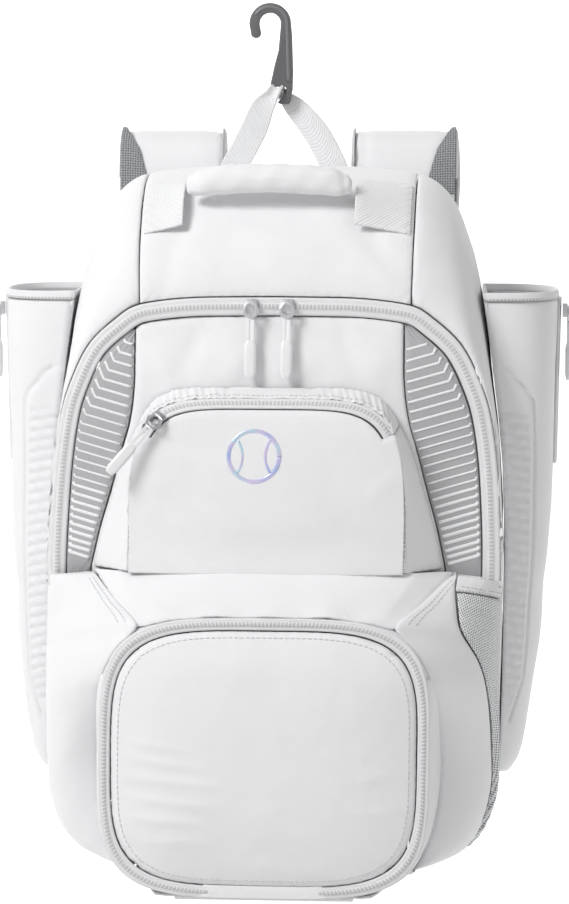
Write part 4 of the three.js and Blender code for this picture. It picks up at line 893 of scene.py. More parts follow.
for word, side in (("left", -1), ("right", 1)):
    cut = Pattern(chevron_surface(side), 40, 110, edges=(1, 1, 0.6, 0.4), unrest=0.3)
    cut.sew(f"ribbed_cloth_{word}", grey_cloth, 1.4, f"chevron_panel_{word}")
    ribs = bmesh.new()
    for rib in range(len(RIB_BENDS["rib"])):
        bend_x, bend_z = RIB_BENDS["x"][rib], RIB_BENDS["z"][rib]
        bend_x += (-2.0 if side < 0 else 2.0) * 0.5
        line = []
        inner_x = side * DOOR_OFF_CENTRE + column_half(bend_z - 10) + LOOSE_SEAM + 1.2
        edge_x = arch_edge_x(bend_z) - 1.0
        corner_x = min(bend_x, edge_x - 1.5)
        inner_z = bend_z - (corner_x - inner_x) * RIB_RISE
        if inner_z < UPPER_FLOOR + 3:
            share = (bend_z - UPPER_FLOOR - 3) / max(1e-6, bend_z - inner_z)
            inner_x, inner_z = mix(corner_x, inner_x, share), UPPER_FLOOR + 3
        for k in range(9):
            line.append((mix(inner_x, corner_x, k / 8), mix(inner_z, bend_z, k / 8)))
        out_x, out_z = corner_x, bend_z
        for k in range(14):
            out_x, out_z = out_x + 0.9, out_z + 0.9 * RIB_STEEP
            if out_x > arch_edge_x(out_z) - 1.0 or out_z > front_seam(chevron_tops[side], MAIN_ZIP_INSET)[1] - 2:
                break
            line.append((out_x, out_z))
        if line[-1][0] - line[0][0] < 3:
            continue
        places = [Vector((side * x, door_y(x, z), z)) for x, z in line]
        widths = [2.0 if rib < 8 else 1.6 if rib < 16 else 2.3 + 0.06 * (rib - 16)] * len(places)
        sweep(ribs, places, widths, 0.9, forward)
    bmesh.ops.recalc_face_normals(ribs, faces=ribs.faces)
    link(f"ribs_{word}", ribs, rib_white)

# Hips: white panels that wrap round the lower front corners from the sides to the lower pocket,
# each with a double row of stitches along its slanted top seam.
HIP = {
    "up": (0.0, 0.145, 0.277, 0.435, 0.5, 0.6, 0.7, 0.77, 0.81, 0.85, 0.925, 1.0),
    "half": (0.9, 0.96, 1.02, 1.07, 1.08, 1.07, 1.045, 1.01, 0.93, 0.8, 0.965, 1.135),
    "out": (0.03, 0.05, 0.1, 0.16, 0.22, 0.42, 0.72, 0.88, 0.92, 0.93, 0.52, 0.12),
    "high": (0.02, 0.068, 0.145, 0.29, 0.385, 0.51, 0.632, 0.71, 0.79, 0.866, 0.93, 1.0),
}
HIP_ROUND = 0.24
HIP_CORNER_UP = 0.85
HIP_POCKET_UP = 0.77
hip_ways = ways_between(BASE_SEAM_WAY, HIP_TOP_WAY - 0.004)


def hip_edge(up):
    x = read_row(HIP, "up", "half", up) * LOWER_HALF_WIDTH
    y = -(MAIN_DEPTH + read_row(HIP, "up", "out", up) * LOWER_DEPTH)
    return Vector((x, y, BASE_LIFT + read_row(HIP, "up", "high", up) * (UPPER_FLOOR - BASE_LIFT - 2)))


def hip_place(u, v):
    outer = gusset(station_at(hip_ways, v), HIP_SHARE + 0.004)
    inner = hip_edge(v)
    corner = Vector((
        outer.x,
        min(outer.y - LOWER_DEPTH * HIP_ROUND * 2, inner.y * 0.55 + outer.y * 0.45),
        mix(outer.z, inner.z, 0.5),
    ))
    return outer.lerp(corner, u).lerp(corner.lerp(inner, u), u)


BOTTLE = {
    "up": (0.0, 0.25, 0.5, 0.68, 0.78, 0.885, 1.0),
    "far": (0.04, 0.2, 0.27, 0.36, 0.47, 0.7, 0.97),
}
BOTTLE_DEPTH = 9


def hip_right(u, v):
    place = hip_place(u, v)
    far = read_row(BOTTLE, "up", "far", v)
    recess = BOTTLE_DEPTH * smooth(0, 0.1, far - u) * smooth(0.02, 0.16, v) * smooth(0, 0.07, u)
    return Vector((place.x - recess * (1 - u * 0.5), place.y + recess * u * 0.9, place.z))


def hip_left(u, v):
    place = hip_place(u, v)
    return Vector((-place.x, place.y, place.z))


def hip_folds(p, u, v, a, b):
    sag = 1.4 * math.exp(-(((p.z - 60) / 30) ** 2)) * math.sin(abs(p.x) * 0.09)
    return sag * smooth(0.1, 0.5, u)


hip_cuts = {
    "left": Pattern(hip_left, 60, 100, folds=hip_folds, unrest=0.9),
    "right": Pattern(hip_right, 80, 100, folds=hip_folds, unrest=0.7),
}
for word in ("left", "right"):
    hip_cuts[word].sew(f"hip_cloth_{word}", white_cloth, 1.6, f"hip_panel_{word}")
stitch_thread = cloth_material("white_thread", (0.62, 0.62, 0.63), roughness=0.55, grain=4000.0)


def topstitch(name, cut, line, pitch=4.0, length=2.7, thick=0.75, lift=0.12):
    """A row of stitches on a cut of cloth, along line(share), which gives u and v."""
    steps = 240
    points = [cut.at(*line(k / steps), lift) for k in range(steps + 1)]
    stitches = bmesh.new()
    reached, due = 0.0, pitch / 2
    for before, after in zip(points, points[1:]):
        step = (after - before).length
        while step > 0 and due <= reached + step:
            place = before.lerp(after, (due - reached) / step)
            run = (hung(after) - hung(before)).normalized()
            turn = run.to_track_quat("Z", "Y").to_matrix().to_4x4()
            bmesh.ops.create_cone(
                stitches, cap_ends=True, segments=6, radius1=thick / 2000, radius2=thick / 2000, depth=length / 1000,
                matrix=Matrix.Translation(hung(place)) @ turn,
            )
            due += pitch
        reached += step
    return link(name, stitches, stitch_thread)


for word in ("left", "right"):
    for row, inset in enumerate((3.0, 5.6)):
        topstitch(
            f"hip_stitches_{word}_{row}", hip_cuts[word],
            lambda s, inset=inset: (1 - inset / 62, mix(HIP_CORNER_UP + 0.012, 0.985, s)), lift=0.05,
        )

# Bottle pocket: a slack panel of knitted mesh let into the right hip, with a taped hem on top.
MESH_FOOT = 0.22
MESH_TOP_FRONT = 0.998
MESH_TOP_BACK = 0.99
hem_share = 9 / (UPPER_FLOOR * (MESH_TOP_FRONT - MESH_FOOT))


def mesh_place(u, v, edge):
    up = mix(MESH_FOOT, mix(MESH_TOP_BACK, MESH_TOP_FRONT, u), v)
    far = read_row(BOTTLE, "up", "far", up) - edge
    place = hip_place(mix(edge, far, u), min(1.0, up))
    swell = 1.5 * math.sin(math.pi * v) * math.sin(math.pi * u)
    return Vector((place.x + swell, place.y - swell, place.z))


def mesh_folds(p, u, v, a, b):
    return 1.7 * math.sin(u * 13 + v * 2.6) * math.sin(math.pi * min(1, v * 1.2)) * smooth(0, 0.15, u)


def knitted_material(name, colour):
    """Knitted mesh: rows of round holes, painted as dark dots of shade, with a soft rim in the bump."""
    material = cloth_material(name, colour, roughness=0.8, wear=0.04)
    nodes, links = material.node_tree.nodes, material.node_tree.links
    shader = nodes["Principled BSDF"]
    place = next(node for node in nodes if node.type == "TEX_COORD")
    cells = nodes.new("ShaderNodeTexVoronoi")
    cells.inputs["Scale"].default_value = 520.0
    cells.inputs["Randomness"].default_value = 0.15
    links.new(place.outputs["UV"], cells.inputs["Vector"])
    # Painted shade: each hole is darkened to about a fifth of the mesh colour, for the dim space seen through it.
    painted_hole_shade = nodes.new("ShaderNodeValToRGB")
    painted_hole_shade.color_ramp.elements[0].position = 0.22
    painted_hole_shade.color_ramp.elements[1].position = 0.42
    painted_hole_shade.color_ramp.elements[0].color = (*[c * 0.22 for c in colour], 1.0)
    painted_hole_shade.color_ramp.elements[1].color = (*colour, 1.0)
    links.new(cells.outputs["Distance"], painted_hole_shade.inputs["Fac"])
    links.new(painted_hole_shade.outputs["Color"], shader.inputs["Base Color"])
    bump = next(node for node in nodes if node.type == "BUMP")
    bump.inputs["Strength"].default_value = 0.5
    links.new(cells.outputs["Distance"], bump.inputs["Height"])
    return material


white_mesh = knitted_material("white_knitted_mesh", (0.8, 0.81, 0.82))
mesh_cut = Pattern(
    lambda u, v: mesh_place(u, v * (1 - hem_share - 0.006), 0.045), 46, 90, edges=(1, 1, 1, 0), folds=mesh_folds,
    unrest=0.5,
)
mesh_cut.sew("bottle_mesh", white_mesh, 0.9, "bottle_pocket_mesh")
hem_cut = Pattern(lambda u, v: mesh_place(u, mix(1 - hem_share, 1, v), 0.03), 60, 12, edges=(0, 0, 0.5, 0.5))
hem_cut.sew("bottle_hem_tape", white_tape, 1.4, "bottle_pocket_hem")
topstitch("bottle_hem_stitches", hem_cut, lambda s: (mix(0.02, 0.98, s), 0.3), pitch=3.4, length=2.3, lift=0.1)

# Lower pocket: a deep pocket with a rounded square front, opened by a zip all round its edge
# but for a short way at the bottom. The front panel bulges, with slack wrinkles on its left.
LOWER_HEIGHT = 197
LOWER_ZIP_WIDTH = 9
LOWER_ZIP_OUTSIDE = 3
LOWER_CROWN = 12
lower_half_height = LOWER_HEIGHT / 2 + LOWER_ZIP_OUTSIDE
lower_middle = BASE_LIFT + SEAM_GAP + lower_half_height
lower_front_y = -(MAIN_DEPTH + LOWER_DEPTH)


def lower_outline(turn, inset):
    half = LOWER_HALF_WIDTH + LOWER_ZIP_OUTSIDE - inset
    x = half * power(math.cos(turn), 0.5)
    return x, lower_middle + (lower_half_height - inset) * power(math.sin(turn), 0.5)


def lower_zip_line(inset):
    def line(u):
        x, z = lower_outline(mix(-1.45, math.pi + 1.45, u), inset)
        return Vector((x, lower_front_y, z))
    return line


sew_zip(
    "lower_zip_tape", lower_zip_line(SEAM_GAP), lower_zip_line(LOWER_ZIP_WIDTH), forward, white_tape, "lower_zip", 400,
    12,
)
LOWER_WRINKLES = (
    # x0, z0, x1, z1, width, height
    (-96, 118, -52, 113, 3.2, 0.8),
    (-98, 106, -40, 100, 3.4, 0.9),
    (-98, 92, -30, 88, 3.6, 1.0),
    (-97, 78, -34, 72, 3.2, 0.8),
    (-96, 63, -44, 60, 3.4, 0.9),
    (-92, 46, -40, 46, 4.2, 0.8),
    (94, 96, 66, 92, 4.0, 0.6),
    (94, 70, 60, 68, 4.0, 0.6),
    (-60, 172, 40, 176, 12, 0.9),
    (-30, 26, 60, 24, 9, 0.8),
)


def lower_place(u, v):
    """The rounded square is filled from a plain square, so that its weave runs straight."""
    a, b = 2 * u - 1, 2 * v - 1
    square = max(abs(a), abs(b), 1e-6)
    turn = math.atan2(b, a)
    round_turn = math.atan2(math.copysign(abs(math.sin(turn)) ** 2, b), math.copysign(abs(math.cos(turn)) ** 2, a))
    edge_x, edge_z = lower_outline(round_turn, LOWER_ZIP_WIDTH + SEAM_GAP * 2)
    share = square
    crown = LOWER_CROWN * (1 - share ** 3)
    return Vector((edge_x * share, lower_front_y - crown, mix(lower_middle, edge_z, share)))


lower_cut = Pattern(lower_place, 98, 98, folds=creases(LOWER_WRINKLES), unrest=0.8)
lower_cut.sew("lower_pocket_cloth", white_cloth, 2.4, "lower_pocket_front")


def round_the_pocket(inset):
    """u and v on the pocket front, a little in from its edge, all the way round."""
    def line(share):
        turn = share * 8 % 8
        near, far = inset, 1 - inset
        sides = ((near, near), (far, near), (far, far), (near, far), (near, near))
        k = min(3, int(turn / 2))
        start, end = sides[k], sides[k + 1]
        s = turn / 2 - k
        return mix(start[0], end[0], s), mix(start[1], end[1], s)
    return line


topstitch("lower_pocket_stitches", lower_cut, round_the_pocket(0.024), lift=0.06)


def lower_side(side):
    def surface(u, v):
        rear = hip_edge(mix(0.06, HIP_POCKET_UP, v))
        half_height = lower_half_height - SEAM_GAP
        high = max(-0.96, (rear.z - lower_middle) / half_height)
        x = (LOWER_HALF_WIDTH + LOWER_ZIP_OUTSIDE - SEAM_GAP) * max(0.0, 1 - high ** 4) ** 0.25
        front = Vector((x - SEAM_GAP, lower_front_y + 3 + LOOSE_SEAM, lower_middle + high * half_height))
        back = Vector((rear.x + 1.5, rear.y + 3.0, rear.z))
        place = front.lerp(back, u)
        return Vector((side * place.x, place.y, place.z))
    return surface




def lower_foot_surface(u, v):
    x, z = lower_outline(mix(-1.42, -math.pi + 1.42, u), mix(SEAM_GAP, LOWER_ZIP_WIDTH + SEAM_GAP * 2, v))
    return Vector((x, lower_front_y - 0.4, z))


def lower_welt_surface(u, v):
    x, z = lower_outline(mix(-math.pi / 2, 1.5 * math.pi, u), mix(3.0, -1.8, v))
    return Vector((x, lower_front_y + mix(2.5, 12.0, v), z))


welt_cut = Pattern(lower_welt_surface, 240, 6, edges=(0, 0, 0, 0), unrest=0.1)
welt_cut.sew("lower_pocket_welt", white_cloth, 1.0)
foot_cut = Pattern(lower_foot_surface, 60, 8, edges=(0.5, 0.5, 0, 0.5), unrest=0.2)
foot_cut.sew("lower_pocket_foot_band", white_cloth, 2.0)
for word, side in (("left", -1), ("right", 1)):
    cut = Pattern(lower_side(side), 24, 70, edges=(1, 0, 0.5, 0.5), unrest=0.3)
    cut.sew(f"lower_pocket_side_cloth_{word}", white_cloth, 1.6, f"lower_pocket_side_{word}")

# Wall of plain lining behind both front pockets, seen only when they are open.


def divider_surface(u, v):
    z = mix(BASE_LIFT + 2 + SEAM_GAP, UPPER_FLOOR - LOOSE_SEAM, v)
    narrow = 1 - 0.12 * smooth(0, 0.3, 0.3 - v)
    return Vector(((2 * u - 1) * (LOWER_HALF_WIDTH - 4) * narrow, -MAIN_DEPTH - SEAM_GAP, z))


divider_cut = Pattern(divider_surface, 30, 30, unrest=0.0)
divider_cut.sew("divider_cloth", dark_lining, 1.4, "divider_panel")

# Yoke: the slope of cloth over the lower pocket, up to the foot of the upper pocket.
UPPER_HALF_WIDTH = 99
UPPER_HEIGHT = 126
UPPER_DEPTH = 34
UPPER_CROWN = 6
UPPER_OFF_CENTRE = -4
UPPER_ZIP_WIDTH = 7.5
YOKE_TURN = 0.66
upper_front_y = -(MAIN_DEPTH + UPPER_DEPTH)


def yoke_surface(u, v):
    side = 2 * u - 1
    low, high = hip_edge(HIP_CORNER_UP), hip_edge(1.0)
    foot_x, foot_z = lower_outline(math.pi / 2 - side * YOKE_TURN, -LOOSE_SEAM)
    foot = Vector((foot_x, mix(lower_front_y + 3, low.y, abs(side)), foot_z))
    head_x = side * (high.x - LOOSE_SEAM)
    half = UPPER_HALF_WIDTH - SEAM_GAP
    off = (head_x - UPPER_OFF_CENTRE) / half
    beyond = max(0.0, (abs(head_x - UPPER_OFF_CENTRE) - half) / (high.x - half))
    head_y = mix(upper_front_y - UPPER_CROWN * max(0.0, 1 - off * off), high.y, min(1.0, beyond))
    head = Vector((head_x, head_y + 0.8, UPPER_FLOOR + 0.8))
    straight = foot.lerp(head, v)
    edge = hip_edge(mix(HIP_CORNER_UP, 1, v))
    word = -1 if side < 0 else 1
    edge_foot_x = lower_outline(math.pi / 2 - YOKE_TURN, -LOOSE_SEAM)[0]
    edge_line = Vector((word * edge_foot_x, low.y, foot_z)).lerp(head, v)
    pull = abs(side) ** 4
    wanted_x = word * (edge.x + 1.0)
    return Vector((
        straight.x + (wanted_x - edge_line.x) * pull,
        mix(straight.y, edge.y + 1.6, pull),
        mix(straight.z, min(edge.z, UPPER_FLOOR - SEAM_GAP), pull),
    ))


def yoke_folds(p, u, v, a, b):
    ripple = 0.7 * math.sin(p.x * 0.16 + 1.0) * math.exp(-(((p.z - 208) / 6) ** 2))
    return ripple - 0.5 * math.exp(-((v - 0.93) / 0.08) ** 2)


yoke_cut = Pattern(yoke_surface, 110, 40, edges=(1, 1, 1, 0), folds=yoke_folds, unrest=0.7)
yoke_cut.sew("yoke_cloth", white_cloth, 1.6, "yoke_panel")

# Upper pocket: a flat pocket for small things. Its zip runs over its rounded top, under a strip
# of gathered cloth that joins it to the door.
UPPER_SQUARENESS = 0.4
UPPER_ZIP_START = 0.62
GATHER_DEPTH = 1.6
GATHER_PITCH = 15
GATHER_RISE = 6
WALL_SPLIT = 0.6


def upper_arch(turn, inset):
    x = UPPER_OFF_CENTRE + (UPPER_HALF_WIDTH - inset) * power(math.cos(turn), UPPER_SQUARENESS)
    return x, UPPER_FLOOR + (UPPER_HEIGHT - inset) * power(math.sin(turn), UPPER_SQUARENESS)


def upper_front_surface(u, v):
    turn = min(math.pi - 0.02, max(0.02, math.pi * (1 - u)))
    start = math.sin(UPPER_ZIP_START)
    opened = smooth(start - 0.01, start + 0.035, math.sin(turn))
    edge_x, edge_z = upper_arch(turn, mix(SEAM_GAP, UPPER_ZIP_WIDTH + LOOSE_SEAM, opened))
    share = min(1.0, max(-1.0, (edge_x - UPPER_OFF_CENTRE) / UPPER_HALF_WIDTH))
    crown = UPPER_CROWN * (1 - share * share) * (1 - (v * math.sin(turn)) ** 4)
    return Vector((edge_x, upper_front_y - crown, mix(UPPER_FLOOR - 0.6, edge_z, v)))


UPPER_FOLDS = (
    # x0, z0, x1, z1, width, height
    (-92, 250, 86, 250, 16, -1.6),
    (-60, 268, 40, 262, 14, 0.9),
    (-94, 300, -72, 286, 7, 0.8),
    (86, 300, 66, 284, 7, 0.8),
    (-84, 330, -60, 322, 6, -0.8),
)


upper_cut = Pattern(upper_front_surface, 116, 80, edges=(0.5, 0.5, 0.3, 0.9), folds=creases(UPPER_FOLDS), unrest=0.8)
upper_cut.sew("upper_pocket_cloth", white_cloth, 1.6, "upper_pocket_front")


def upper_zip_line(inset, back):
    def line(u):
        x, z = upper_arch(mix(UPPER_ZIP_START, math.pi - UPPER_ZIP_START, 1 - u), inset)
        return Vector((x, upper_front_y + back, z))
    return line


def forward_and_up(place):
    return Vector((0.0, -0.85, 0.5)).normalized()


sew_zip(
    "upper_zip_tape", upper_zip_line(0, 4), upper_zip_line(UPPER_ZIP_WIDTH - SEAM_GAP, 0), forward_and_up, white_tape,
    "upper_zip", 200, 12,
)


def upper_wall(turn, back, ruffled):
    front_x, front_z = upper_arch(turn, -SEAM_GAP * 2)
    rear_z = UPPER_FLOOR + (UPPER_HEIGHT + GATHER_RISE) * power(math.sin(turn), UPPER_SQUARENESS)
    rear_half = column_half(rear_z) - LOOSE_SEAM
    rear_x = DOOR_OFF_CENTRE + rear_half * power(math.cos(turn), 0.28)
    rear = Vector((rear_x, door_y(rear_x, rear_z) - 2 - SEAM_GAP, rear_z))
    near = Vector((front_x, upper_front_y + mix(1.4, 3.2, ruffled), front_z))
    place = near.lerp(rear, back)
    wave = math.sin(place.x / GATHER_PITCH * 2 * math.pi) * GATHER_DEPTH * 0.35 * ruffled * (1 - back * 0.5)
    return Vector((place.x, place.y, place.z + wave * back))


for word, side in (("left", -1), ("right", 1)):
    def wall_surface(u, v, side=side):
        high = v * math.sin(WALL_SPLIT) ** UPPER_SQUARENESS
        turn = math.asin(min(1.0, high ** (1 / UPPER_SQUARENESS)))
        place = upper_wall(turn if side > 0 else math.pi - turn, u, 0)
        return Vector((place.x, place.y, max(place.z, UPPER_FLOOR + SEAM_GAP)))

    cut = Pattern(wall_surface, 24, 60, unrest=0.4)
    cut.sew(f"upper_pocket_side_cloth_{word}", white_cloth, 1.6, f"upper_pocket_side_{word}")


def gather_surface(u, v):
    turn = mix(WALL_SPLIT + 0.01, math.pi - WALL_SPLIT - 0.01, 1 - u)
    ends = smooth(math.sin(WALL_SPLIT), 0.9, math.sin(turn))
    return upper_wall(turn, v, ends)


def gather_folds(p, u, v, a, b):
    """Small irregular gathers, drawn tight at the zip and fading towards the door."""
    tight = (1 - 0.45 * v) * smooth(0, 0.12, u) * smooth(0, 0.12, 1 - u)
    fine = math.sin(a * 1.15 + 3.0 * noise.noise(Vector((a * 0.05, 0, 0)))) * 0.4
    coarse = noise.noise(Vector((a * 0.11, v * 1.5, 3.0))) * 1.2
    return (fine + coarse) * tight


gather_cut = Pattern(gather_surface, 330, 14, edges=(1, 1, 0.6, 0.8), folds=gather_folds, unrest=0.0)
gather_cut.sew("gathered_cloth", white_cloth, 0.9, "gathered_strip")
topstitch("gather_stitches", gather_cut, lambda s: (mix(0.04, 0.96, s), 0.16), pitch=3.4, length=2.2, lift=0.1)
for word, side in (("left", 0), ("right", 1)):
    topstitch(
        f"upper_pocket_stitches_{word}", upper_cut,
        lambda s, side=side: (mix(0.014, 0.986, side), mix(0.03, 0.97, s)), pitch=3.8, lift=0.06,
    )

# Foil mark on the upper pocket: a plain round ball outline with two seam arcs in pearly foil.
FOIL_MIDDLE = (-12.5, 316.0)
FOIL_RADIUS = 18.0
upper_points = KDTree(sum(len(row) for row in upper_cut.places))
upper_nodes = [place for row in upper_cut.places for place in row]
for k, place in enumerate(upper_nodes):
    upper_points.insert((place.x, 0.0, place.z), k)
upper_points.balance()


def on_upper_pocket(x, z):
    near = [upper_nodes[k] for _, k, _ in upper_points.find_n((x, 0.0, z), 4)]
    return Vector((x, sum(place.y for place in near) / 4 - 0.15, z))


def foil_material(name):
    """Pearly foil print: its tint drifts from aqua through lilac to blue in soft patches over the mark."""
    material = bpy.data.materials.new(name)
    material.use_nodes = True
    nodes, links = material.node_tree.nodes, material.node_tree.links
    shader = nodes["Principled BSDF"]
    shader.inputs["Metallic"].default_value = 0.35
    shader.inputs["Roughness"].default_value = 0.3
    place = nodes.new("ShaderNodeTexCoord")
    drift = nodes.new("ShaderNodeTexNoise")
    drift.inputs["Scale"].default_value = 45.0
    links.new(place.outputs["Object"], drift.inputs["Vector"])
    tint = nodes.new("ShaderNodeValToRGB")
    tint.color_ramp.elements[0].position = 0.35
    tint.color_ramp.elements[0].color = (0.45, 0.78, 0.8, 1.0)
    tint.color_ramp.elements[1].position = 0.65
    tint.color_ramp.elements[1].color = (0.42, 0.52, 0.82, 1.0)
    middle_tint = tint.color_ramp.elements.new(0.5)
    middle_tint.color = (0.68, 0.6, 0.82, 1.0)
    links.new(drift.outputs["Fac"], tint.inputs["Fac"])
    links.new(tint.outputs["Color"], shader.inputs["Base Color"])
    bump = nodes.new("ShaderNodeBump")
    bump.inputs["Strength"].default_value = 0.1
    bump.inputs["Distance"].default_value = 0.0003
    links.new(drift.outputs["Fac"], bump.inputs["Height"])
    links.new(bump.outputs["Normal"], shader.inputs["Normal"])
    return material


foil = bmesh.new()
foil_lines = [[(FOIL_RADIUS, 2 * math.pi * k / 60) for k in range(61)]]
ball_x, ball_z = FOIL_MIDDLE
line = [on_upper_pocket(ball_x + r * math.cos(t), ball_z + r * math.sin(t)) for r, t in foil_lines[0]]
sweep(foil, line, [3.2] * len(line), 0.5, forward)
for word, side in (("left", -1), ("right", 1)):
    line = []
    for k in range(21):
        t = mix(-0.62, 0.62, k / 20)
        line.append(on_upper_pocket(
            ball_x + side * (FOIL_RADIUS * 1.55 - FOIL_RADIUS * 1.1 * math.cos(t)),
            ball_z + FOIL_RADIUS * 1.1 * math.sin(t),
        ))
    sweep(foil, line, [2.2] * len(line), 0.5, forward)
link("foil_mark", foil, foil_material("pearly_foil"))

# Bat sleeves: flat open-topped tubes of padded cloth along both sides of the bag. Ribs and a
# groove round them are pressed into the padding at the front and back of each sleeve.
SLEEVE_REACH = 38
SLEEVE_DEPTH = 102
SLEEVE_RIM_HEIGHT = 428
SLEEVE_LENGTH = 360
SLEEVE_RIM_BAND = 6
SLEEVE_WALL = 2.5
SLEEVE_ZIP_LENGTH = 130
SLEEVE = {
    "down": (0.0, 0.19, 0.42, 0.58, 0.7, 0.79, 0.87, 0.93, 0.97, 1.0),
    "out": (1.0, 0.962, 0.92, 0.855, 0.78, 0.69, 0.6, 0.52, 0.43, 0.27),
    "deep": (1.0, 0.99, 0.96, 0.93, 0.89, 0.85, 0.81, 0.76, 0.69, 0.56),
}
SLEEVE_SQUARENESS = 0.72
SLEEVE_OUTER_SHARE = 0.72
sleeve_middle_y = -(10 + SLEEVE_DEPTH / 2)
sleeve_shade = cloth_material("white_sleeve_cloth", (0.78, 0.78, 0.79), depth=0.15)
body_sides = {}


def body_side_at(z):
    key = round(z, 2)
    if key not in body_sides:
        low, high = 0.3, 1.0
        for _ in range(30):
            way = (low + high) / 2
            if outline_point(way, "x", "z")[1] < z:
                low = way
            else:
                high = way
        body_sides[key] = outline_point(low, "x", "z")[0]
    return body_sides[key]


def sleeve_turn(u):
    return mix(-math.pi / 2, math.pi / 2, u / SLEEVE_OUTER_SHARE)


def sleeve_point(u, down, inset):
    """Round the sleeve: u runs over its outside first, and then back along the bag's side."""
    z = SLEEVE_RIM_HEIGHT - down * SLEEVE_LENGTH
    inner = body_side_at(z) + LOOSE_SEAM + max(0, inset)
    outer = BODY_HALF_WIDTH + read_row(SLEEVE, "down", "out", down) * SLEEVE_REACH - inset
    half = read_row(SLEEVE, "down", "deep", down) * SLEEVE_DEPTH / 2 - inset
    if u <= SLEEVE_OUTER_SHARE:
        turn = sleeve_turn(u)
        x = mix(inner, outer, max(0.0, math.cos(turn)) ** SLEEVE_SQUARENESS)
        return Vector((x, sleeve_middle_y + half * power(math.sin(turn), SLEEVE_SQUARENESS), z))
    back = (u - SLEEVE_OUTER_SHARE) / (1 - SLEEVE_OUTER_SHARE)
    return Vector((inner, sleeve_middle_y + half * (1 - 2 * back), z))


def sleeve_surface(side):
    def surface(u, v):
        down = min(1.0, mix((SLEEVE_RIM_BAND + SEAM_GAP) / SLEEVE_LENGTH, 1.0, v / 0.96))
        place = sleeve_point(u, down, 0)
        closing = smooth(0.955, 1.0, v)
        foot = Vector((body_side_at(place.z) + 4, sleeve_middle_y, place.z))
        place = place.lerp(foot, closing * 0.97)
        return Vector((side * place.x, place.y, place.z))
    return surface


EMBOSS_TOP = 373
EMBOSS_FOOT = 108
EMBOSS_TURN = 58
RIB_TOP = 345
RIB_FOOT = 118
RIB_PITCH = 7.8


def sleeve_folds(p, u, v, a, b):
    """Embossing: a groove round a field of ribs, near the front and near the back edge."""
    if u > SLEEVE_OUTER_SHARE:
        return 0.0
    off = math.degrees(abs(sleeve_turn(u)))
    z = p.z
    corner = EMBOSS_TURN
    if z > 349:
        corner = mix(EMBOSS_TURN, 84, (z - 349) / (EMBOSS_TOP - 349))
    elif z < 142:
        corner = mix(EMBOSS_TURN, 80, (142 - z) / (142 - EMBOSS_FOOT))
    height = 0.0
    if EMBOSS_FOOT < z < EMBOSS_TOP:
        height -= 2.0 * math.exp(-(((off - corner) / 2.0) ** 2))
        height -= 0.7 * math.exp(-(((off - corner - 5) / 1.4) ** 2)) * smooth(EMBOSS_FOOT, 150, z)
        height += 0.9 * smooth(corner, corner + 5, off)
    inside = smooth(corner + 6, corner + 10, off)
    inside = inside * smooth(RIB_FOOT, RIB_FOOT + 6, z) * smooth(-RIB_TOP, 6 - RIB_TOP, -z)
    slope = z - (off - 70) * 0.16
    long_rib = 0.5 + 0.5 * math.cos(2 * math.pi * slope / RIB_PITCH)
    short_rib = (0.5 - 0.5 * math.cos(2 * math.pi * slope / RIB_PITCH)) ** 6 * smooth(70, 74, off)
    height += inside * (2.2 * long_rib ** 2 + 1.3 * short_rib - 1.3)
    slack = 1.1 * noise.noise(Vector((p.y * 0.02, p.z * 0.012, 4.0)))
    bend = -1.6 * math.exp(-(((z - 205) / 16) ** 2)) * math.exp(-(((off - 20) / 30) ** 2))
    return height + slack + bend


def rim_surface(side):
    def surface(u, v):
        over = abs(2 * v - 1) ** 3
        down = over * SLEEVE_RIM_BAND / SLEEVE_LENGTH
        place = sleeve_point(u, down, mix(-1.2, SLEEVE_WALL + 0.6, v))
        return Vector((side * place.x, place.y, place.z))
    return surface


def sleeve_zip_line(side, across):
    def line(u):
        down = mix(SLEEVE_ZIP_LENGTH, SLEEVE_RIM_BAND + SEAM_GAP, u) / SLEEVE_LENGTH
        x = BODY_HALF_WIDTH + read_row(SLEEVE, "down", "out", down) * SLEEVE_REACH + 1.9
        return Vector((side * x, sleeve_middle_y + across, SLEEVE_RIM_HEIGHT - down * SLEEVE_LENGTH))
    return line


for word, side in (("left", -1), ("right", 1)):
    centre = Vector((side * (BODY_HALF_WIDTH + 14), sleeve_middle_y, 250))
    cut = Pattern(
        sleeve_surface(side), 92, 176, edges=(0, 0, 0.7, 0), folds=sleeve_folds, unrest=0.5, middle=centre,
    )
    cut.sew(f"sleeve_cloth_{word}", sleeve_shade, SLEEVE_WALL - 0.4, f"bat_sleeve_{word}")
    band = Pattern(rim_surface(side), 150, 12, edges=(0, 0, 0, 0), unrest=0.0, middle=centre)
    band.sew(f"rim_binding_{word}", white_tape, 0.8, f"sleeve_rim_{word}")
    half_zip = MAIN_ZIP_WIDTH * 0.4

    def outwards(place, side=side):
        return Vector((side, 0.0, 0.0))

    sew_zip(
        f"sleeve_zip_tape_{word}", sleeve_zip_line(side, -half_zip), sleeve_zip_line(side, half_zip), outwards,
        white_tape, f"sleeve_zip_{word}", 60, 12,
    )

# Grab handle: a padded roll of cloth, gathered where it is sewn to the webbing tab at each end.
HANDLE_LENGTH = 122
HANDLE_OFF_CENTRE = -6
HANDLE_ACROSS = 0.56
HANDLE_STAND_OFF = 14
HANDLE_DROP = 6
TAB_LENGTH = 38
handle_cloth = cloth_material("white_handle_cloth", (0.8, 0.8, 0.81), grain=1100.0, depth=0.16)


def handle_gathers(p):
    """Drawn-in seams near both ends, with short gathers that run out along the roll."""
    along = abs(p.x - (HANDLE_OFF_CENTRE - CROOK[0])) / (HANDLE_LENGTH / 2)
    turn = math.atan2(p.z + 122, p.y + 114)
    gathers = 0.9 * math.sin(turn * 11 + p.x * 0.02) * math.exp(-(((along - 0.93) / 0.12) ** 2))
    return gathers - 1.5 * math.exp(-(((along - 0.9) / 0.035) ** 2)) + 0.35 * math.sin(p.x * 0.31 + turn * 2)


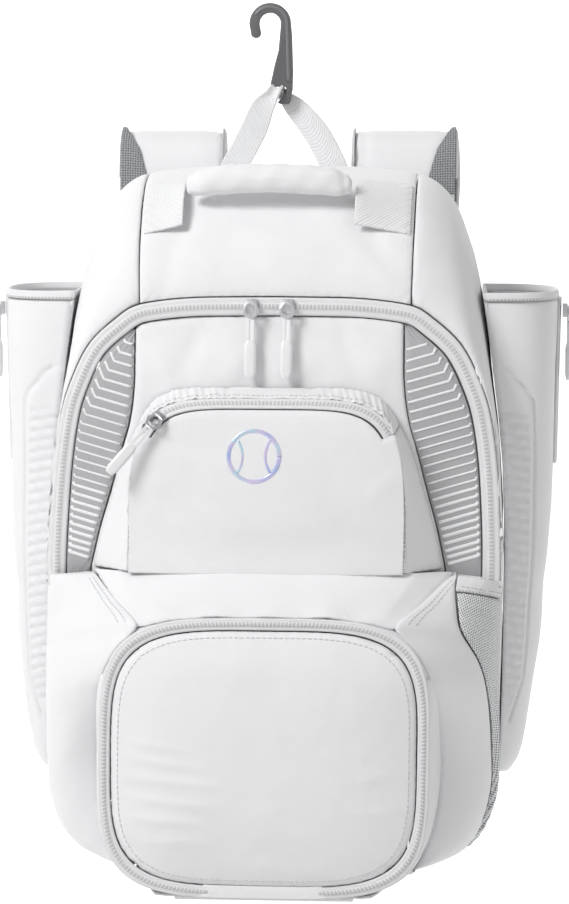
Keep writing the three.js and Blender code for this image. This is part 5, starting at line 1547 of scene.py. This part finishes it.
finish_pad(
    inflate("handle_roll", "grab_handle", 4.0, 3.0, 1.2, 0.4), handle_cloth, "grab_handle", handle_gathers,
)


def webbing_material(name, colour):
    """Narrow woven webbing: fine slanting ribs across it in the bump."""
    material = cloth_material(name, colour, roughness=0.62, grain=2600.0, depth=0.3, wear=0.05)
    nodes, links = material.node_tree.nodes, material.node_tree.links
    place = next(node for node in nodes if node.type == "TEX_COORD")
    slant = nodes.new("ShaderNodeTexWave")
    slant.bands_direction = "DIAGONAL"
    slant.inputs["Scale"].default_value = 230.0
    slant.inputs["Distortion"].default_value = 0.4
    links.new(place.outputs["UV"], slant.inputs["Vector"])
    bump = next(node for node in nodes if node.type == "BUMP")
    bump.inputs["Strength"].default_value = 0.45
    links.new(slant.outputs["Fac"], bump.inputs["Height"])
    return material


white_webbing = webbing_material("white_webbing", (0.8, 0.8, 0.81))


def on_top(way, across, lift):
    place = gusset(way, across)
    along_panel = gusset(way, across + 0.01) - gusset(way, across - 0.01)
    sideways = gusset(way * 0.999, across) - place
    out = along_panel.cross(sideways).normalized()
    if out.y > 0:
        out.negate()
    return place + out * lift


for word, side in (("left", -1), ("right", 1)):
    way_in = 0.93
    while outline_point(way_in, "x", "z")[0] > side * HANDLE_OFF_CENTRE + HANDLE_LENGTH / 2 + LOOSE_SEAM * 2:
        way_in += 0.0005
    reach = TAB_LENGTH / (MAIN_DEPTH * (1 - FULLEST_SHARE) * 1.3)

    def tab_surface(u, v, side=side, way_in=way_in, reach=reach):
        way = side * mix(way_in, TOP_SEAM_WAY + 0.003, u)
        across = mix(HANDLE_ACROSS - reach * 0.5, HANDLE_ACROSS + reach * 0.5, v)
        lift = 1.9 + (HANDLE_STAND_OFF - HANDLE_DROP) * (1 - u) ** 2 * math.sin(math.pi * (0.2 + 0.8 * (1 - v)))
        return on_top(way, across, lift)

    tab_cut = Pattern(tab_surface, 40, 50, edges=(0.6, 1, 0.6, 0.6), unrest=0.2)
    tab_cut.sew(f"handle_tab_cloth_{word}", white_webbing, 1.5, f"handle_tab_{word}")

# Fence hook: moulded in dark grey plastic, with a raised rib down its front.
HOOK_CROOK_RADIUS = 8.2
HOOK_ROD_WIDTH = 7.5
HOOK_HEIGHT = 76
HOOK_THICKNESS = 8
grey_plastic = moulded_material("grey_moulding", (0.13, 0.13, 0.135), 0.45)
edged_copy("hook_moulding", "fence_hook", grey_plastic, 1.3, 3)
crook_middle = Vector((CROOK[0], CROOK[1], CROOK[2] - HOOK_CROOK_RADIUS))
hook_body = HOOK_HEIGHT - HOOK_CROOK_RADIUS - HOOK_ROD_WIDTH
rib_radius = HOOK_CROOK_RADIUS + HOOK_ROD_WIDTH * 0.62
hook_face = crook_middle.y - HOOK_THICKNESS / 2 - 0.1
rib_line = [
    Vector((crook_middle.x + rib_radius * math.cos(t), hook_face, crook_middle.z + rib_radius * math.sin(t)))
    for t in (math.radians(mix(150, 0, k / 20)) for k in range(21))
]
rib_line += [
    Vector((crook_middle.x + rib_radius + s * 1.2, hook_face, crook_middle.z - s * hook_body * 0.72))
    for s in (k / 12 for k in range(1, 13))
]
hook_rib = bmesh.new()
sweep(hook_rib, rib_line, [2.6] * len(rib_line), 0.9, forward)
link("hook_rib", hook_rib, moulded_material("grey_rib_moulding", (0.2, 0.2, 0.21), 0.35))

# Hang loop: one length of webbing, folded narrow where it runs through the eye of the hook.
WEBBING_WIDTH = 20
WEBBING_THICKNESS = 1.8
LOOP = {
    "stage": (0, 1, 2, 3, 4, 5, 6, 7, 8, 9, 10),
    "right": (-1.0, -0.54, -0.3, -0.12, -0.03, 0.0, 0.03, 0.1, 0.3, 0.66, 1.0),
    "back": (0.0, -0.4, -1.05, -1.15, -0.84, 0.0, 0.84, 1.15, 1.0, 0.5, 0.0),
    "high": (0.0, 0.5, 0.83, 0.96, 1.02, 1.0, 1.02, 0.94, 0.78, 0.46, 0.0),
    "wide": (1.0, 1.0, 0.8, 0.5, 0.42, 0.4, 0.42, 0.5, 0.85, 1.0, 1.0),
    "lean": (0.0, 0.0, 0.0, 0.2, 0.75, 1.0, 1.25, 1.8, 2.0, 2.0, 2.0),
}
LOOP_REACH = {-1: 35.5, 1: 44.0}
eye = Vector((crook_middle.x + 0.8 * HOOK_CROOK_RADIUS, CROOK[1], crook_middle.z - 0.828 * hook_body))
loop_box = [solids["hang_loop"].matrix_world @ Vector(corner) for corner in solids["hang_loop"].bound_box]
loop_foot_z = min(corner.z for corner in loop_box) * 1000 + CROOK[2]


def loop_surface(u, v):
    stage = v * 10
    side = -1 if stage < 5 else 1
    right = read_row(LOOP, "stage", "right", stage)
    high = read_row(LOOP, "stage", "high", stage)
    lean = read_row(LOOP, "stage", "lean", stage)
    foot_z = loop_foot_z + (2.0 if side < 0 else 0.5)
    at = Vector((
        eye.x + right * LOOP_REACH[side],
        read_row(LOOP, "stage", "back", stage) * (HOOK_THICKNESS / 2 + WEBBING_THICKNESS) + CROOK[1],
        mix(foot_z, eye.z, high),
    ))
    upright = 1 - abs(1 - lean)
    slant = side * 0.42 * (1 - upright) * smooth(0, 0.08, high)
    across = Vector((1, 0, slant)).normalized()
    turn = lean * math.pi / 2
    through = Vector((0, math.cos(turn), -math.sin(turn)))
    wide = read_row(LOOP, "stage", "wide", stage)
    cupped = (1 - wide) * 5.0 * (2 * u - 1) ** 2
    return at + across * ((u - 0.5) * WEBBING_WIDTH * wide) - through * cupped * (1 if side < 0 else -1)


loop_cut = Pattern(loop_surface, 20, 160, edges=(0, 0, 0, 0), unrest=0.15, middle=Vector((eye.x, 40, eye.z - 20)))
hang_loop = loop_cut.sew("hang_loop_webbing", white_webbing, WEBBING_THICKNESS, "hang_loop")
hang_loop.modifiers["lining"].offset = 0.0

# Shoulder straps: foam pads under cloth, bound at their edges, lined with grey mesh on the side
# to the wearer. Each ends in a ladder buckle with a webbing tail down to the foot of the bag.
STRAP_WIDTH = 80
STRAP_THICKNESS = 11
STRAP_RISE = 27
STRAP_STAND_OFF = 58
STRAP_SPACING = BODY_HALF_WIDTH * 0.533
STRAP = {
    "along": (0.0, 0.08, 0.14, 0.2, 0.27, 0.34, 0.45, 0.6, 0.75, 0.9, 1.0),
    "back": (0.0, 0.01, 0.12, 0.4, 0.76, 0.95, 1.0, 0.98, 0.88, 0.7, 0.55),
    "high": (0.9, 0.958, 1.0, 1.0, 1.0, 0.975, 0.89, 0.745, 0.6, 0.465, 0.38),
    "rise": (0.0, 0.0, 0.33, 0.75, 0.45, 0.0, 0.0, 0.0, 0.0, 0.0, 0.0),
    "spread": (0.0, 0.0, 0.0, 0.0, 0.01, 0.02, 0.0, -0.1, -0.12, 0.02, 0.12),
    "wide": (1.0, 1.0, 1.0, 1.0, 1.0, 1.0, 0.98, 0.94, 0.88, 0.8, 0.72),
}
grey_mesh = knitted_material("grey_knitted_mesh", (0.33, 0.34, 0.35))
WEDGE_START = 0.075
WEDGE_END = 0.205
WEDGE_WIDTH = 25
strap_first_y = SEAM_GAP + STRAP_THICKNESS / 2


def strap_place(side, along):
    return Vector((
        side * (STRAP_SPACING + read_row(STRAP, "along", "spread", along) * STRAP_WIDTH),
        strap_first_y + read_row(STRAP, "along", "back", along) * (STRAP_STAND_OFF - strap_first_y),
        BASE_LIFT + read_row(STRAP, "along", "high", along) * BODY_HEIGHT
        + read_row(STRAP, "along", "rise", along) * STRAP_RISE,
    ))


def strap_out(side, along):
    run = strap_place(side, min(1, along + 0.004)) - strap_place(side, max(0, along - 0.004))
    run.x = 0
    run.normalize()
    return Vector((0, -run.z, run.y))


def strap_surface(side, lift, inset, start):
    def surface(u, v):
        along = mix(start, 1, v)
        width = read_row(STRAP, "along", "wide", along) * STRAP_WIDTH - inset * 2
        return strap_place(side, along) + Vector(((u - 0.5) * width, 0, 0)) + strap_out(side, along) * lift
    return surface


def strap_quilting(p):
    """A soft roll along the middle of the pad, with a sewn line down each side."""
    side = 1 if p.x > 12.6 else -1
    off = abs(p.x - CROOK[0] * -1 - side * STRAP_SPACING)
    return -1.3 * math.exp(-(((off - 31) / 2.6) ** 2))


for word, side in (("left", -1), ("right", 1)):
    pad = inflate(f"strap_pad_{word}", f"shoulder_strap_{word}", 4.6, 3.0, 1.2, 0.5)
    finish_pad(pad, pad_cloth, f"shoulder_strap_{word}", strap_quilting)
    strap_middle = Vector((side * STRAP_SPACING, 30, 400))
    lining_cut = Pattern(
        strap_surface(side, -(STRAP_THICKNESS / 2 + SEAM_GAP + 1), 2, 0.1), 30, 200, edges=(1, 1, 1, 1), unrest=0.2,
        middle=strap_middle,
    )
    lining = lining_cut.sew(f"strap_mesh_{word}", grey_mesh, 1.6, f"strap_lining_{word}")
    lining.modifiers["lining"].offset = 0.0
    for edge_word, edge_side in (("inner", -1), ("outer", 1)):
        binding = bmesh.new()
        places, steps = [], 150
        for k in range(steps + 1):
            along = mix(0.1, 0.995, k / steps)
            width = read_row(STRAP, "along", "wide", along) * STRAP_WIDTH
            places.append(strap_place(side, along) + Vector((edge_side * (width * 0.5 - 1.6), 0, 0)))

        def sidewards(place, edge_side=edge_side):
            return Vector((edge_side, 0.0, 0.0))

        sweep(binding, places, [12.0] * len(places), 2.6, sidewards)
        link(f"strap_binding_{word}_{edge_word}", binding, white_tape)

    def wedge_surface(u, v, side=side):
        along = mix(WEDGE_START, WEDGE_END, v)
        width = read_row(STRAP, "along", "wide", along) * STRAP_WIDTH
        out_x = side * (width / 2 - 1.0 - u * mix(WEDGE_WIDTH, 1.5, v))
        return strap_place(side, along) + Vector((out_x, 0, 0)) + strap_out(side, along) * (STRAP_THICKNESS / 2 + 1.4)

    wedge_cut = Pattern(wedge_surface, 16, 30, edges=(0, 0.4, 0.4, 0), unrest=0.2, middle=strap_middle)
    wedge = wedge_cut.sew(f"strap_mesh_wedge_{word}", grey_mesh, 1.0)
    edged_copy(f"ladder_buckle_{word}", f"strap_buckle_{word}", grey_plastic, 0.8)

BUCKLE_LENGTH = 26
TAIL_WIDTH = 25
for word, side in (("left", -1), ("right", 1)):
    foot = strap_place(side, 1)
    seam_x, seam_z = seam_point(0.27, TAIL_WIDTH * 0.8, "back_x", "back_z")
    tail_top = Vector((foot.x, foot.y - 5, foot.z - BUCKLE_LENGTH * 0.3))
    tail_end = Vector((side * seam_x, SEAM_GAP + WEBBING_THICKNESS / 2, seam_z + TAIL_WIDTH / 2))
    tail_slack = Vector((
        mix(tail_top.x, tail_end.x, 0.6), mix(tail_top.y, tail_end.y, 0.75), mix(tail_top.z, tail_end.z, 0.5),
    ))

    def tail_surface(u, v, top=tail_top, slack=tail_slack, end=tail_end, seam_z=seam_z):
        if v > 0.92:
            at = end.lerp(Vector((end.x, end.y, seam_z)), (v - 0.92) / 0.08)
        else:
            s = v / 0.92
            at = top.lerp(slack, s).lerp(slack.lerp(end, s), s)
        return at + Vector(((u - 0.5) * TAIL_WIDTH, 0, 0))

    tail_cut = Pattern(tail_surface, 20, 90, edges=(0, 0, 0, 1), unrest=0.2, middle=Vector((foot.x, -60, 200)))
    tail = tail_cut.sew(f"tail_webbing_{word}", white_webbing, WEBBING_THICKNESS, f"strap_tail_{word}")
    tail.modifiers["lining"].offset = 0.0

# Zip pulls: a cast slider with an open ring tab, a loop of thin cord and a moulded grip.


def cast_metal(name):
    """Bright die-cast metal, with a faint cloudiness in its gloss."""
    material = moulded_material(name, (0.72, 0.72, 0.74), 0.36, grain=0.05)
    material.node_tree.nodes["Principled BSDF"].inputs["Metallic"].default_value = 0.75
    return material


slider_metal = cast_metal("slider_metal")
grip_plastic = moulded_material("white_grip_moulding", (0.8, 0.8, 0.81), 0.4)
for zip_word in ("main_zip_left", "main_zip_right", "upper_zip", "sleeve_zip_left", "sleeve_zip_right"):
    edged_copy(f"{zip_word}_cast_slider", f"{zip_word}_slider", slider_metal, 0.45, 2, 0.4)
    edged_copy(f"{zip_word}_grip", f"{zip_word}_pull", grip_plastic, 0.5, 2, 0.4)
